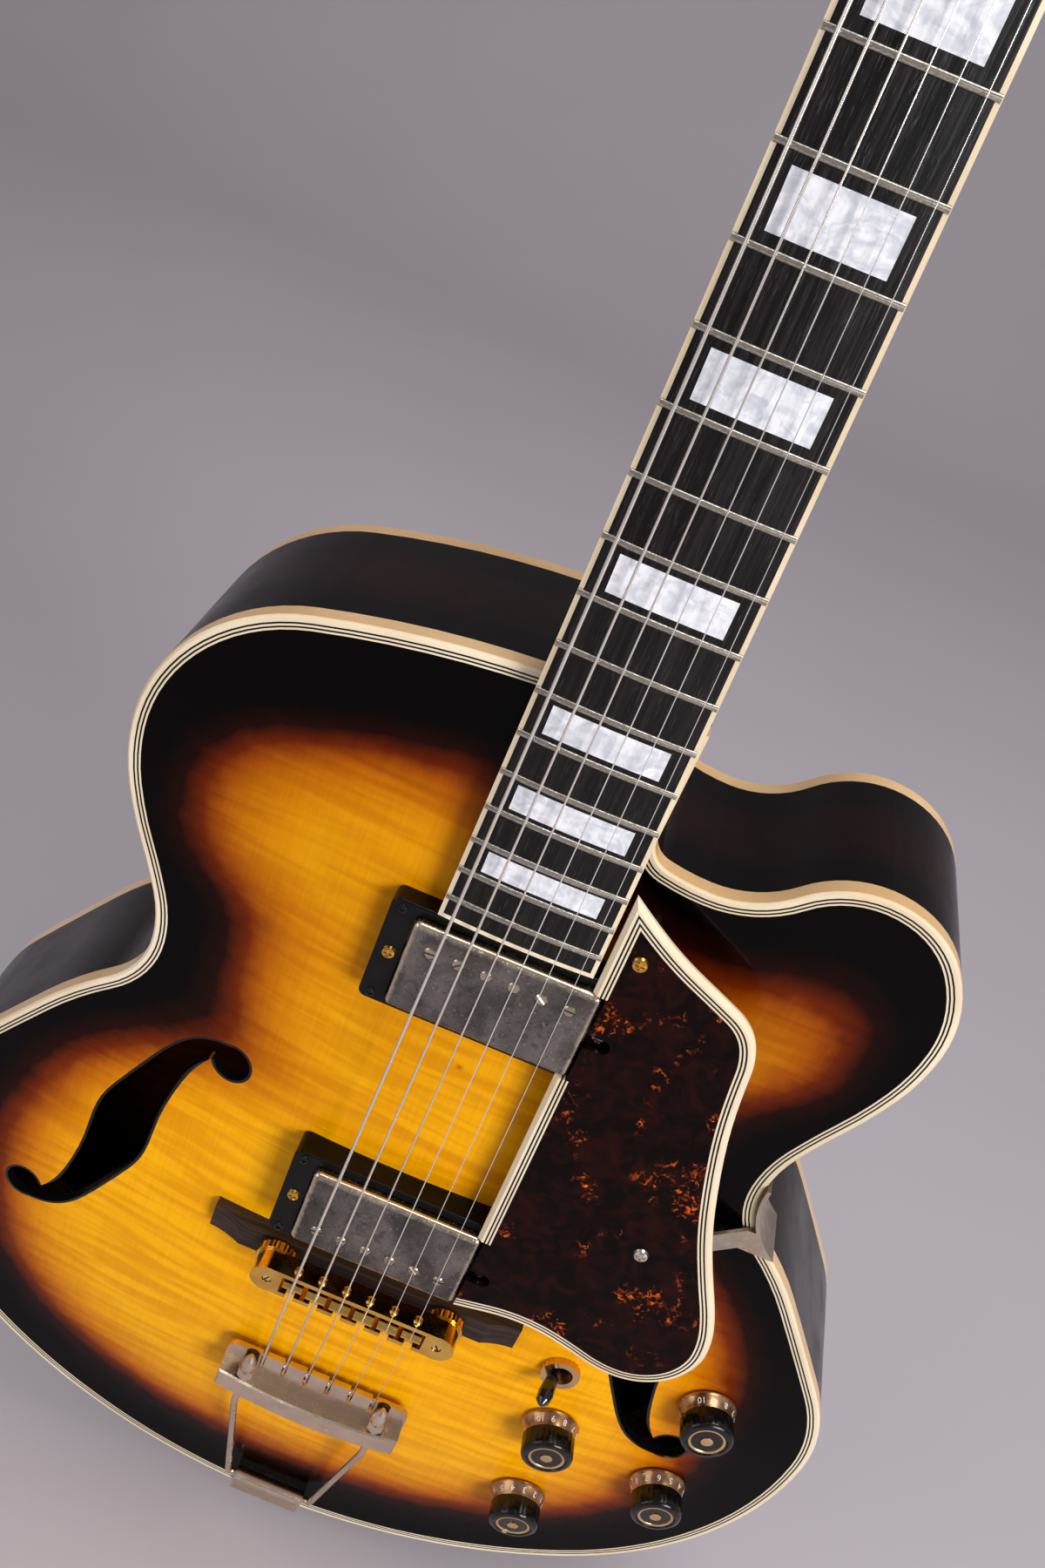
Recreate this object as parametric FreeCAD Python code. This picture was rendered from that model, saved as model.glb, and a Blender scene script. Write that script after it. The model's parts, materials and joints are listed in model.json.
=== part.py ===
import FreeCAD, Part
import math
import os

# A hollow archtop guitar with one rounded cutaway, in millimetres.
# +Z runs from the tail end to the headstock, +X is the treble side, the front faces -Y.
# The origin is the seat of the tail strap button: the tail end of the ribs, mid-depth.

V = FreeCAD.Vector
X_AXIS = V(1, 0, 0)
Y_AXIS = V(0, 1, 0)
Z_AXIS = V(0, 0, 1)

# Body outline, seen from the front
lower_half = 209.0
lower_z = 178.0
flank_x = 163.0
flank_z = 269.5
flank_heading = 54.0
waist_half = 126.0
waist_z = 325.0
upper_half = 152.0
upper_z = 416.0
flare_x = 139.0
flare_drop = 49.0
flare_heading = 116.0
shoulder_rise = 82.0
horn_x = 108.0
horn_rise = 51.5
valley_x = 53.0
valley_rise = 26.5
crook_x = 29.5
crook_rise = 38.0

# Plates, ribs and trim
body_depth = 78.0
top_rise = 15.5
back_rise = 13.0
arch_margin = 8.0
arch_reach = 128.0
plate_thick = 4.5
rib_thick = 2.5
binding_wide = 2.4
binding_tall = 7.0
binding_round = 0.9
line_wide = 0.7
line_deep = 1.2
lining_wide = 6.0
lining_tall = 14.0
block_long = 26.0
tail_block_half = 32.0
bar_spread = 62.0
bar_wide = 7.0
bar_tall = 9.0
f_half_x = 35.5
f_half_z = 60.0
f_eye = 9.0
f_inset = 92.0
f_above_bridge = 15.0
f_edge = 1.2
lining_gap = 0.6
glue = 0.1
fit = 0.06

# Neck, fingerboard and strings
scale_length = 648.0
neck_angle = 4.0
join_fret = 14
join_inset = 2.0
board_lift = 12.0
fret_count = 20
board_thick = 6.0
board_past = 9.0
board_radius = 305.0
board_binding = 1.6
nut_width = 43.0
board_end_width = 57.4
nut_long = 5.0
nut_rise = 2.6
neck_deep_nut = 15.0
neck_deep_join = 18.0
heel_half = 26.0
heel_long = 52.0
heel_tip_half = 16.0
heel_tip_long = 17.0
fret_wide = 2.4
fret_tall = 1.1
inlay_frets = (1, 3, 5, 7, 9, 12, 15, 17, 19)
inlay_share = 0.66
inlay_margin = 7.5
inlay_deep = 1.6
head_angle = 14.0
head_long = 184.0
head_thick = 15.0
head_drop = 4.0
head_half_low = 36.0
head_half_top = 41.0
rod_radius = 2.4
rod_nut_radius = 3.4
rod_depth = 5.6
cover_half = 12.0
cover_long = 38.0
cover_thick = 1.8
string_spread_nut = 35.5
string_spread_bridge = 51.8
string_lift_nut = 2.0
string_lift_bridge = 6.0
string_gauges = (0.28, 0.36, 0.46, 0.71, 0.97, 1.25)
ball_radius = 1.7

# Tuners
tuner_first = 45.0
tuner_pitch = 40.0
tuner_x = 27.0
post_radius = 3.0
post_rise = 12.0
post_seat = 3.2
wrap_rise = 6.0
bushing_wall = 1.8
washer_radius = 7.0
washer_thick = 1.2
housing_half = 8.0
housing_tall = 11.0
stem_radius = 2.0
stem_depth = 6.0
button_start = 48.0
button_long = 18.0
button_half = 8.0
button_thick = 7.0

# Pickups
cover_x = 69.85
cover_z = 38.1
cover_tall = 16.0
cover_wall = 0.7
cover_round = 2.4
neck_pickup_past = 23.4
bridge_pickup_ahead = 42.2
neck_cover_drop = 3.0
bridge_cover_drop = 4.8
cover_stands = 4.5
pole_offset = 9.3
pole_radius = 2.3
pole_proud = 0.4
bobbin_x = 64.0
bobbin_z = 16.6
bobbin_tall = 11.0
base_plate = 1.4
leg_drop = 6.0
leg_half = 6.0
ring_x = 90.0
ring_z = 45.5
ring_gap = 0.5
ring_screw_x = 40.6
ring_screw_z = 19.4
height_screw_x = 39.6
screw_head = 2.6
screw_shank = 1.3
screw_long = 14.0
recess_wide = 0.8
recess_deep = 0.7

# Pickguard
guard_thick = 3.0
guard_bevel = 1.6
guard_binding = 2.6
guard_line = 0.7
guard_lines = 4
guard_over_ring = 1.3
guard_gap = 0.6
guard_left = 33.0
guard_past_board = 38.7
guard_ear_long = 9.6
guard_ear_half = 3.0
guard_board_gap = 1.8
guard_screw_head = 3.0
guard_screw_inset = 7.4
guard_screw_back = 22.7
guard_screw_over = 57.4
guard_screw_ahead = 26.3
bracket_thick = 1.5
bracket_half = 5.5
bracket_beside_screw = 3.0
bracket_lap = 7.0
bracket_foot_long = 34.0
bracket_foot_tall = 22.0
bracket_lift = 2.0
bracket_gap = 0.9
standoff_half = 5.0

# Bridge
post_spread = 74.0
bridge_post_radius = 2.0
bar_drop = 2.4
bridge_bar_wide = 14.0
bridge_bar_tall = 9.5
bridge_bar_wall = 2.2
bridge_lug_radius = 7.2
saddle_wide = 8.4
saddle_thick = 4.4
saddle_screw_radius = 1.1
saddle_screw_drop = 3.6
string_notch_wide = 3.6
string_notch_deep = 2.6
saddle_gap = 0.1
saddle_shoulder = 0.5
wheel_radius = 8.5
wheel_thick = 3.5
wheel_teeth = 30
wheel_gap = 2.2
base_half = 68.0
base_wide = 13.0
base_foot = 4.5

# Tailpiece
hinge_z = 18.5
hinge_lift = 6.0
wire_radius = 1.6
barrel_radius = 3.4
barrel_half = 17.5
arm_foot_x = 21.5
arm_top_x = 31.0
tail_half = 42.5
tail_back_z = 113.0
tail_step_z = 124.0
tail_front_z = 137.0
tail_top_lift = 26.0
tail_shelf_lift = 19.8
tail_shelf_thick = 2.6
tail_block_lift = 15.5
tail_bow = 5.0
tail_slot_wide = 2.2
tail_slot_long = 9.5
string_spread_tail = 52.0
nut_hex = 3.9
nut_hex_long = 5.0
nut_dome_long = 9.0
bracket_sheet = 2.0
bracket_down = 52.0

# Controls
knob_insets = ((108.0, 155.5), (52.5, 197.0), (102.5, 92.5), (50.5, 135.5))
knob_names = ("knob_neck_volume", "knob_bridge_volume", "knob_neck_tone", "knob_bridge_tone")
skirt_radius = 12.8
skirt_tall = 5.0
grip_radius = 11.4
grip_tall = 12.0
grip_ribs = 20
knob_gap = 0.8
knob_cap_radius = 6.5
pot_radius = 12.0
pot_tall = 9.0
pot_shaft = 3.0
pot_bushing = 4.6
switch_inset = 117.0
switch_z = 193.5
switch_heading = 70.0
switch_room = 14.0
switch_nut_radius = 8.6
switch_nut_tall = 3.0
lever_long = 22.0
lever_radius = 1.5
lever_tip = 3.4
lever_lean = 16.0
jack_z = 76.0
jack_bore = 3.25
jack_nut_radius = 8.0
jack_long = 18.0
button_neck = 4.0
button_head = 7.5
button_tall = 11.0

front_y = -body_depth / 2
back_y = body_depth / 2
flare_z = upper_z - flare_drop
shoulder_z = upper_z + shoulder_rise
horn_z = upper_z + horn_rise
valley_z = upper_z + valley_rise
crook_z = upper_z + crook_rise
knob_places = [(lower_half - inset, z) for inset, z in knob_insets]
switch_place = (lower_half - switch_inset, switch_z)
f_mid_x = lower_half - f_inset
parts = {}


# Shapes used throughout

def turned(points, base, axis):
    """A solid of revolution: points are (radius, height) along the axis from base."""
    wire = Part.makePolygon([V(r, 0, h) for r, h in points] + [V(points[0][0], 0, points[0][1])])
    solid = Part.Face(wire).revolve(V(0, 0, 0), Z_AXIS, 360)
    solid.Placement = FreeCAD.Placement(base, FreeCAD.Rotation(Z_AXIS, axis))
    return solid


def block(x0, x1, y0, y1, z0, z1):
    return Part.makeBox(x1 - x0, y1 - y0, z1 - z0, V(x0, y0, z0))


def prism(wire, y1):
    """The flat wire, which lies at one y, extruded to the plane y1."""
    y0 = wire.Vertexes[0].Point.y
    return Part.Face(wire).extrude(V(0, y1 - y0, 0))


def mirrored(shape):
    return shape.mirror(V(0, 0, 0), X_AXIS)


def placed(shape, place):
    copy = shape.copy()
    copy.Placement = place.multiply(copy.Placement)
    return copy


def screw(base, axis, head_radius, head_tall, shank_radius, shank_long):
    """A round-headed screw with a cross recess, seated at base; axis points out of the surface."""
    profile = [(0, -shank_long), (shank_radius, -shank_long), (shank_radius, 0), (head_radius, 0),
               (head_radius * 0.85, head_tall * 0.7), (head_radius * 0.45, head_tall), (0, head_tall)]
    reach = head_radius * 0.6
    half = recess_wide / 2
    cross = block(-reach, reach, -half, half, head_tall - recess_deep, head_tall)
    cross = cross.fuse(block(-half, half, -reach, reach, head_tall - recess_deep, head_tall))
    cross.Placement = FreeCAD.Placement(base, FreeCAD.Rotation(Z_AXIS, axis))
    return turned(profile, base, axis).cut(cross)


# Flat outlines made of tangent arcs

def biarc(p, p_heading, q, q_heading):
    """Two tangent arcs from p to q, each as (start, heading vector, end)."""
    t0 = V(math.cos(p_heading), 0, math.sin(p_heading))
    t1 = V(math.cos(q_heading), 0, math.sin(q_heading))
    chord = q - p
    along = chord.dot(t0 + t1)
    spread = 2 * (1 - t0.dot(t1))
    if spread > 1e-9:
        reach = (-along + math.sqrt(along ** 2 + spread * chord.dot(chord))) / spread
    else:
        reach = chord.dot(chord) / (4 * chord.dot(t1))
    joint = (p + t0 * reach + q - t1 * reach) * 0.5
    middle = q - p - (t0 + t1) * reach
    middle = middle.normalize() if middle.Length > 1e-9 else t0
    return [(p, t0, joint), (joint, middle, q)]


def arc_edge(start, heading, end, inset):
    """The arc from start to end, moved to the right of its heading by inset."""
    left = V(-heading.z, 0, heading.x)
    chord = end - start
    radius = chord.dot(chord) / (2 * left.dot(chord))
    centre = start + left * radius
    half = start + end - centre * 2
    bulge = heading * (1 if heading.dot(chord) > 0 else -1)
    middle_dir = half if half.Length > 1e-6 else bulge
    middle = centre + middle_dir.normalize() * abs(radius)
    shift = [point - (centre - point) * (inset / radius) for point in (start, middle, end)]
    return Part.Arc(*shift).toShape()


def tangent_edges(nodes, inset):
    """Arcs through nodes (x, z, heading in degrees), moved right by inset."""
    edges = []
    for (x0, z0, a0), (x1, z1, a1) in zip(nodes, nodes[1:]):
        arcs = biarc(V(x0, 0, z0), math.radians(a0), V(x1, 0, z1), math.radians(a1))
        edges += [arc_edge(start, heading, end, inset) for start, heading, end in arcs]
    return edges


body_nodes = [(crook_x, crook_z, -90), (valley_x, valley_z, 0), (horn_x, horn_z, 0),
              (upper_half, upper_z, -90),
              (flare_x, flare_z, -flare_heading), (waist_half, waist_z, -90),
              (flank_x, flank_z, -flank_heading), (lower_half, lower_z, -90), (0, 0, -180),
              (-lower_half, lower_z, 90), (-flank_x, flank_z, flank_heading), (-waist_half, waist_z, 90),
              (-flare_x, flare_z, flare_heading), (-upper_half, upper_z, 90), (0, shoulder_z, 0)]


def body_wire(inset, y):
    """The body outline, set in from the edge of the ribs, at depth y."""
    edges = tangent_edges(body_nodes, inset)
    corner = V(crook_x - inset, 0, shoulder_z - inset)
    edges.append(Part.LineSegment(V(0, 0, shoulder_z - inset), corner).toShape())
    edges.append(Part.LineSegment(corner, V(crook_x - inset, 0, crook_z)).toShape())
    wire = Part.Wire(Part.sortEdges(edges)[0])
    wire.translate(V(0, y, 0))
    return wire


def body_ring(outer, inner, y0, y1):
    return prism(body_wire(outer, y0), y1).cut(prism(body_wire(inner, y0), y1))


# The arch: height grows with a soft distance to the outline

rim_points = body_wire(0, 0).discretize(Number=260)


def inside_outline(x, z):
    inside = False
    for a, b in zip(rim_points, rim_points[1:]):
        if (a.z > z) != (b.z > z) and x < a.x + (b.x - a.x) * (z - a.z) / (b.z - a.z):
            inside = not inside
    return inside


def arch_share(x, z):
    """0 at the rim to 1 in the middle of the lower bout."""
    if not inside_outline(x, z):
        return 0.0
    pull = 0.0
    for a, b in zip(rim_points, rim_points[1:]):
        gap = math.hypot((a.x + b.x) / 2 - x, (a.z + b.z) / 2 - z)
        pull += (b - a).Length / max(gap, 1.0) ** 3
    depth = math.sqrt(2 / pull)
    u = min(max((depth - arch_margin) / (arch_reach - arch_margin), 0), 1)
    return u * u * (3 - 2 * u)


arch_columns = 20
arch_rows = 24
grid_margin = 6.0


def arch_grid():
    wide = lower_half + grid_margin
    tall = shoulder_z + 2 * grid_margin
    xs = [-wide + 2 * wide * i / arch_columns for i in range(arch_columns + 1)]
    zs = [-grid_margin + tall * j / arch_rows for j in range(arch_rows + 1)]
    return [[(x, z, arch_share(x, z)) for z in zs] for x in xs]


grid = arch_grid()


def arch_face(edge_y, rise, outward):
    """The arched skin whose rim lies at edge_y; outward is -1 for the top, 1 for the back."""
    surface = Part.BSplineSurface()
    surface.interpolate([[V(x, edge_y + outward * rise * share, z) for x, z, share in row] for row in grid])
    return surface.toShape()


top_skin = arch_face(front_y, top_rise, -1)
back_skin = arch_face(back_y, back_rise, 1)
under_top = top_skin.extrude(V(0, body_depth, 0))


def clear_of_top(shape, gap):
    """The shape cut off where it would come nearer to the arched top than gap."""
    tool = under_top.copy()
    tool.translate(V(0, -gap, 0))
    return shape.cut(tool)


def top_y(x, z):
    return front_y - top_rise * arch_share(x, z)


def on_top(x, z, lift):
    """A frame on the arched top at (x, z): its own Z axis points straight out of the wood."""
    step = 4.0
    slope_x = (top_y(x + step, z) - top_y(x - step, z)) / (2 * step)
    slope_z = (top_y(x, z + step) - top_y(x, z - step)) / (2 * step)
    normal = V(slope_x, -1, slope_z).normalize()
    return FreeCAD.Placement(V(x, top_y(x, z), z) + normal * lift, FreeCAD.Rotation(Z_AXIS, normal))


# Neck frame: origin at the nut on the board's face, its Z axis towards the headstock

def fret_distance(fret):
    return scale_length * (1 - 2 ** (-fret / 12))


tilt = math.radians(neck_angle)
join_z = shoulder_z - join_inset
join_run = fret_distance(join_fret)
nut_z = join_z + join_run * math.cos(tilt) + board_lift * math.sin(tilt)
nut_y = front_y + join_run * math.sin(tilt) - board_lift * math.cos(tilt)
neck_place = FreeCAD.Placement(V(0, nut_y, nut_z), FreeCAD.Rotation(X_AXIS, -neck_angle))
head_place = neck_place.multiply(FreeCAD.Placement(V(0, head_drop, nut_long),
                                                   FreeCAD.Rotation(X_AXIS, -head_angle)))
board_long = fret_distance(fret_count) + board_past
board_taper = (board_end_width - nut_width) / 2 / board_long


def board_half(distance):
    """Half the board's width at a distance from the nut."""
    return nut_width / 2 + board_taper * distance


def string_x(spread, number):
    """Across position of string 1 (treble) to 6 (bass)."""
    return spread * (3.5 - number) / 5


def crown(x, lift):
    """Lift of a point above the board's middle plane, less the drop of its round face."""
    return lift - x * x / (2 * board_radius)


def string_point(number, share):
    """A string's centre between nut (0) and saddle (1), in the part's frame."""
    x0 = string_x(string_spread_nut, number)
    x1 = string_x(string_spread_bridge, number)
    lift = crown(x0, string_lift_nut) * (1 - share) + crown(x1, string_lift_bridge) * share
    return neck_place.multVec(V(x0 + (x1 - x0) * share, -lift, -scale_length * share))


saddle_mid = neck_place.multVec(V(0, -string_lift_bridge, -scale_length))
bridge_z = saddle_mid.z
nut_mid = neck_place.multVec(V(0, -string_lift_nut, 0))
string_tilt = math.degrees(math.atan2(nut_mid.y - saddle_mid.y, nut_mid.z - saddle_mid.z))


def string_plane_y(z):
    return saddle_mid.y + (z - saddle_mid.z) * math.tan(math.radians(string_tilt))


# Body

neck_pickup_z = neck_place.multVec(V(0, 0, -board_long - neck_pickup_past)).z
bridge_pickup_z = bridge_z + bridge_pickup_ahead
f_mid_z = bridge_z + f_above_bridge
cavity_half_x = cover_x / 2 + 0.9
cavity_half_z = cover_z / 2 + 2.2
leg_reach = height_screw_x + 3.0


def f_wire(side, inset, y):
    """An f-hole: two round eyes joined by a swelling stem, alike when turned half round."""
    eye = f_eye - inset
    eye_at = V(f_half_x, 0, f_half_z)
    start = eye_at + V(eye * math.cos(math.radians(115)), 0, eye * math.sin(math.radians(115)))
    end = eye_at * -1 + V(eye * math.cos(math.radians(20)), 0, eye * math.sin(math.radians(20)))
    shares = ((0.48, 1.033), (0.10, 0.717), (-0.175, 0.40), (-0.338, 0.165), (-0.40, -0.22), (-0.49, -0.55),
              (-0.62, -0.80))
    stem = [V(u * f_half_x + inset, 0, v * f_half_z - inset * 0.3) for u, v in shares]
    curve = Part.BSplineCurve()
    curve.interpolate([start] + stem + [end])
    far = eye_at * -1 + V(eye * math.cos(math.radians(200)), 0, eye * math.sin(math.radians(200)))
    edges = [curve.toShape(), Part.Arc(end, far, start * -1).toShape()]
    edges += [edge.rotated(V(0, 0, 0), Y_AXIS, 180) for edge in edges]
    wire = Part.Wire(Part.sortEdges(edges)[0])
    wire.translate(V(-f_mid_x, y, f_mid_z))
    return wire if side < 0 else mirrored(wire)


def pickup_cavity(z):
    tall = 2 * (top_rise + plate_thick)
    hole = block(-cavity_half_x, cavity_half_x, front_y - tall, front_y + tall, z - cavity_half_z,
                 z + cavity_half_z)
    ears = block(-leg_reach - 1, leg_reach + 1, front_y - tall, front_y + tall, z - leg_half - 3,
                 z + leg_half + 3)
    return hole.fuse(ears)


def through_top(place, radius):
    axis = place.Rotation.multVec(Z_AXIS)
    return Part.makeCylinder(radius, 4 * plate_thick, place.Base - axis * 2 * plate_thick, axis)


def make_top_plate():
    far = front_y - 2 * top_rise
    plate = top_skin.extrude(V(0, plate_thick, 0))
    plate = plate.common(prism(body_wire(binding_wide, far), back_y))
    plate = plate.cut(body_ring(binding_wide - glue, binding_wide + 4 * line_wide, far, front_y + line_deep))
    holes = [prism(f_wire(side, 0, far), back_y) for side in (-1, 1)]
    holes += [pickup_cavity(z) for z in (neck_pickup_z, bridge_pickup_z)]
    holes += [through_top(on_top(x, z, 0), pot_bushing + fit) for x, z in knob_places]
    holes.append(through_top(on_top(*switch_place, 0), switch_nut_radius - 1.5))
    return plate.cut(holes)


def make_back_plate():
    plate = back_skin.extrude(V(0, -plate_thick, 0))
    return plate.common(prism(body_wire(binding_wide, front_y), 2 * back_y))


def rim_frame(z):
    """The treble rib's outer face at height z below the horn: a frame with X pointing out of the rib."""
    side = [(a, b) for a, b in zip(rim_points, rim_points[1:]) if a.x > 0 and a.z < flare_z]
    a, b = min(side, key=lambda pair: abs((pair[0].z + pair[1].z) / 2 - z))
    run = (b - a).normalize()
    out = V(-run.z, 0, run.x)
    out = out if out.x > 0 else out * -1
    share = (z - a.z) / (b.z - a.z)
    return a + (b - a) * share, out


def make_ribs():
    depth = body_depth / 2 - binding_tall
    ring = body_ring(0, rib_thick, -depth, depth)
    seam = glue / 2
    bass = block(-2 * lower_half, -seam, front_y, back_y, -shoulder_z, 2 * shoulder_z)
    treble = mirrored(bass)
    spot, out = rim_frame(jack_z)
    hole = Part.makeCylinder(jack_nut_radius - 2, 4 * rib_thick, spot - out * 2 * rib_thick, out)
    return Part.Compound(ring.common(bass).Solids + ring.common(treble).cut(hole).Solids)


def make_inner_frame():
    """Linings, end blocks and the two tone bars under the top."""
    low = front_y + plate_thick + lining_gap
    high = back_y - plate_thick - lining_gap
    wall = rib_thick + glue
    linings = [body_ring(wall, wall + lining_wide, low, low + lining_tall),
               body_ring(wall, wall + lining_wide, high - lining_tall, high)]
    room = prism(body_wire(wall + lining_wide + glue, low), high)
    slim = prism(body_wire(wall, low + lining_tall + glue), high - lining_tall - glue)
    hollow = room.fuse(slim)
    neck_block = block(-crook_x, crook_x, low, high, shoulder_z - block_long, shoulder_z)
    tail_block = block(-tail_block_half, tail_block_half, low, high, 0, block_long)
    blocks = [neck_block.common(hollow), tail_block.common(hollow)]
    bars = []
    switch_at, switch_up = switch_place
    switch_space = Part.makeCylinder(switch_room, body_depth, V(switch_at, 2 * front_y, switch_up), Y_AXIS)
    bar_low = bridge_z - 70
    bar_high = neck_pickup_z + 40
    for x in (-bar_spread / 2 - cavity_half_x / 2, bar_spread / 2 + cavity_half_x / 2):
        bar = block(x - bar_wide / 2, x + bar_wide / 2, front_y - 2 * top_rise,
                    front_y + plate_thick + bar_tall,
                    bar_low, bar_high)
        tool = under_top.copy()
        tool.translate(V(0, plate_thick + glue, 0))
        bars.append(bar.common(tool).cut(switch_space))
    return Part.Compound(linings + blocks + bars)


def bound_edge(y0, y1, round_at):
    """One binding strip, its outer corner at round_at rounded over."""
    strip = body_ring(0, binding_wide, min(y0, y1), max(y0, y1))
    edges = []
    for edge in strip.Edges:
        points = edge.discretize(3)
        flat = all(abs(p.y - round_at) < 1e-6 for p in points)
        outside = not any(inside_outline(p.x * 0.9999, p.z) and rim_gap(p) > 0.2 for p in points)
        if flat and outside:
            edges.append(edge)
    return strip.makeChamfer(binding_round, edges)


def rim_gap(point):
    """Distance from a point to the body outline in the flat view."""
    flat = V(point.x, 0, point.z)
    return min((flat - a).Length for a in dense_rim)


dense_rim = body_wire(0, 0).discretize(Number=2600)


def make_body_binding():
    strips = [bound_edge(front_y, front_y + binding_tall, front_y),
              bound_edge(back_y - binding_tall, back_y, back_y)]
    for start in (1, 3):
        inset = binding_wide + start * line_wide
        strips.append(body_ring(inset, inset + line_wide, front_y, front_y + line_deep))
    return Part.Compound([solid for strip in strips for solid in strip.Solids])


def make_black_purfling():
    """Two black lines beside the binding, and the black edging inside the f-holes."""
    solids = []
    for start in (0, 2):
        inset = binding_wide + start * line_wide
        solids += body_ring(inset, inset + line_wide, front_y, front_y + line_deep).Solids
    far = front_y - 2 * top_rise
    plate = top_skin.extrude(V(0, plate_thick, 0))
    for side in (-1, 1):
        edging = prism(f_wire(side, 0, far), back_y).cut(prism(f_wire(side, f_edge, far), back_y))
        solids += edging.common(plate).Solids
    return Part.Compound(solids)


# Neck and fingerboard, made in the neck frame

def neck_section(distance, deep):
    half = board_half(distance)
    a = V(-half, board_thick, -distance)
    b = V(half, board_thick, -distance)
    arc = Part.Arc(b, V(0, board_thick + deep, -distance), a).toShape()
    return Part.Wire([Part.LineSegment(a, b).toShape(), arc])


def heel_section(y, half, long):
    start = shoulder_z + glue
    turns = [math.radians(angle) for angle in range(0, 181, 45)]
    bow = [V(half * math.cos(turn), y, start + long * math.sin(turn)) for turn in turns]
    curve = Part.BSplineCurve()
    curve.interpolate(bow)
    return Part.Wire([curve.toShape(), Part.LineSegment(bow[-1], bow[0]).toShape()])


def head_wire():
    half = [(nut_width / 2, -nut_long, 90), (nut_width / 2, 0, 80), (head_half_low, 32, 72),
            (head_half_top, head_long - 40, 90), (0, head_long, 180)]
    other = [(-x, z, -heading) for x, z, heading in reversed(half)]
    edges = tangent_edges(half, 0) + tangent_edges(other, 0)
    edges.append(Part.LineSegment(V(-nut_width / 2, 0, -nut_long), V(nut_width / 2, 0, -nut_long)).toShape())
    return Part.Wire(Part.sortEdges(edges)[0])


def tuner_places():
    """String number to its post in the headstock frame, with the side it faces."""
    places = {}
    for row in range(3):
        places[6 - row] = (-tuner_x, tuner_first + row * tuner_pitch, -1)
        places[1 + row] = (tuner_x, tuner_first + row * tuner_pitch, 1)
    return places


tuners = tuner_places()


def make_neck():
    shaft = Part.makeLoft([neck_section(-nut_long, neck_deep_nut), neck_section(join_run, neck_deep_join)],
                          True, True)
    shaft = placed(shaft, neck_place)
    sections = [(front_y + 4, heel_half, heel_long),
                (front_y + 32, 0.6 * heel_half + 0.4 * heel_tip_half, 30.0),
                (back_y - 24, 0.25 * heel_half + 0.75 * heel_tip_half, 20.0),
                (back_y - 1, heel_tip_half, heel_tip_long)]
    heel = Part.makeLoft([heel_section(*section) for section in sections], True, False)
    body_space = block(-lower_half, lower_half, 8 * front_y, 8 * back_y, 0, shoulder_z + glue)
    stock = shaft.fuse(heel).cut(body_space)
    inset = 3.0
    end = board_long - inset
    corners = [V(-board_half(join_run) + inset, board_thick, 30 - join_run),
               V(board_half(join_run) - inset, board_thick, 30 - join_run),
               V(board_half(end) - inset, board_thick, -end), V(-board_half(end) + inset, board_thick, -end)]
    tongue = placed(prism(Part.makePolygon(corners + corners[:1]), 5 * board_thick), neck_place)
    tongue = clear_of_top(tongue, glue)
    tongue = tongue.cut(block(-lower_half, lower_half, front_y, back_y, 0, 2 * shoulder_z))
    head = placed(prism(head_wire(), head_thick), head_place)
    pocket = placed(block(-rod_nut_radius - 1, rod_nut_radius + 1, -1, 11, -2, 20), head_place)
    channel = block(-rod_radius - fit, rod_radius + fit, board_thick,
                    board_thick + rod_depth + rod_radius + fit,
                    30 - join_run, 3 * nut_long)
    neck = stock.fuse([tongue, head]).removeSplitter()
    neck = neck.cut([pocket, placed(channel, neck_place)])
    ledge = placed(block(-nut_width, nut_width, -board_thick, board_thick, -1, nut_long), neck_place)
    bores = [placed(Part.makeCylinder(post_radius + bushing_wall + fit, 3 * head_thick, V(x, -head_thick, z),
                                      Y_AXIS),
                    head_place) for x, z, _ in tuners.values()]
    return neck.cut([ledge] + bores)


def board_blank(inset, end_inset):
    """The fingerboard's tapered, round-faced slab, set in from its edges."""
    end = board_long - end_inset
    corners = [V(-board_half(0) + inset, board_thick, 0), V(board_half(0) - inset, board_thick, 0),
               V(board_half(board_long) - inset, board_thick, -end),
               V(-board_half(board_long) + inset, board_thick, -end)]
    slab = prism(Part.makePolygon(corners + corners[:1]), -board_thick)
    round_face = Part.makeCylinder(board_radius, 2 * board_long, V(0, board_radius, -1.5 * board_long),
                                   Z_AXIS)
    return slab.common(round_face)


def inlay_blocks():
    boxes = []
    for fret in inlay_frets:
        near = fret_distance(fret - 1)
        far = fret_distance(fret)
        middle = (near + far) / 2
        half_long = (far - near) * inlay_share / 2
        half = board_half(middle) - inlay_margin
        boxes.append(block(-half, half, -inlay_deep, inlay_deep, -middle - half_long, -middle + half_long))
    return boxes


def make_fretted_board():
    core = board_blank(board_binding, board_binding)
    binding = board_blank(0, 0).cut(core)
    pearl = [box.common(core) for box in inlay_blocks()]
    frets = []
    for fret in range(1, fret_count + 1):
        distance = fret_distance(fret)
        span = math.degrees(math.asin((board_half(distance) - 0.4) / board_radius))
        left = V(0, 0, fret_wide / 2 - distance)
        right = V(0, 0, -fret_wide / 2 - distance)
        arc = Part.Arc(left, V(0, -fret_tall, -distance), right).toShape()
        face = Part.Face(Part.Wire([arc, Part.LineSegment(right, left).toShape()]))
        hub = V(0, board_radius, 0)
        face.rotate(hub, Z_AXIS, -span)
        frets.append(face.revolve(hub, Z_AXIS, 2 * span))
    parts["fingerboard"] = placed(core.cut(pearl), neck_place)
    parts["fingerboard_binding"] = placed(binding, neck_place)
    parts["position_inlays"] = placed(Part.Compound(pearl), neck_place)
    parts["frets"] = placed(Part.Compound(frets), neck_place)


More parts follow.
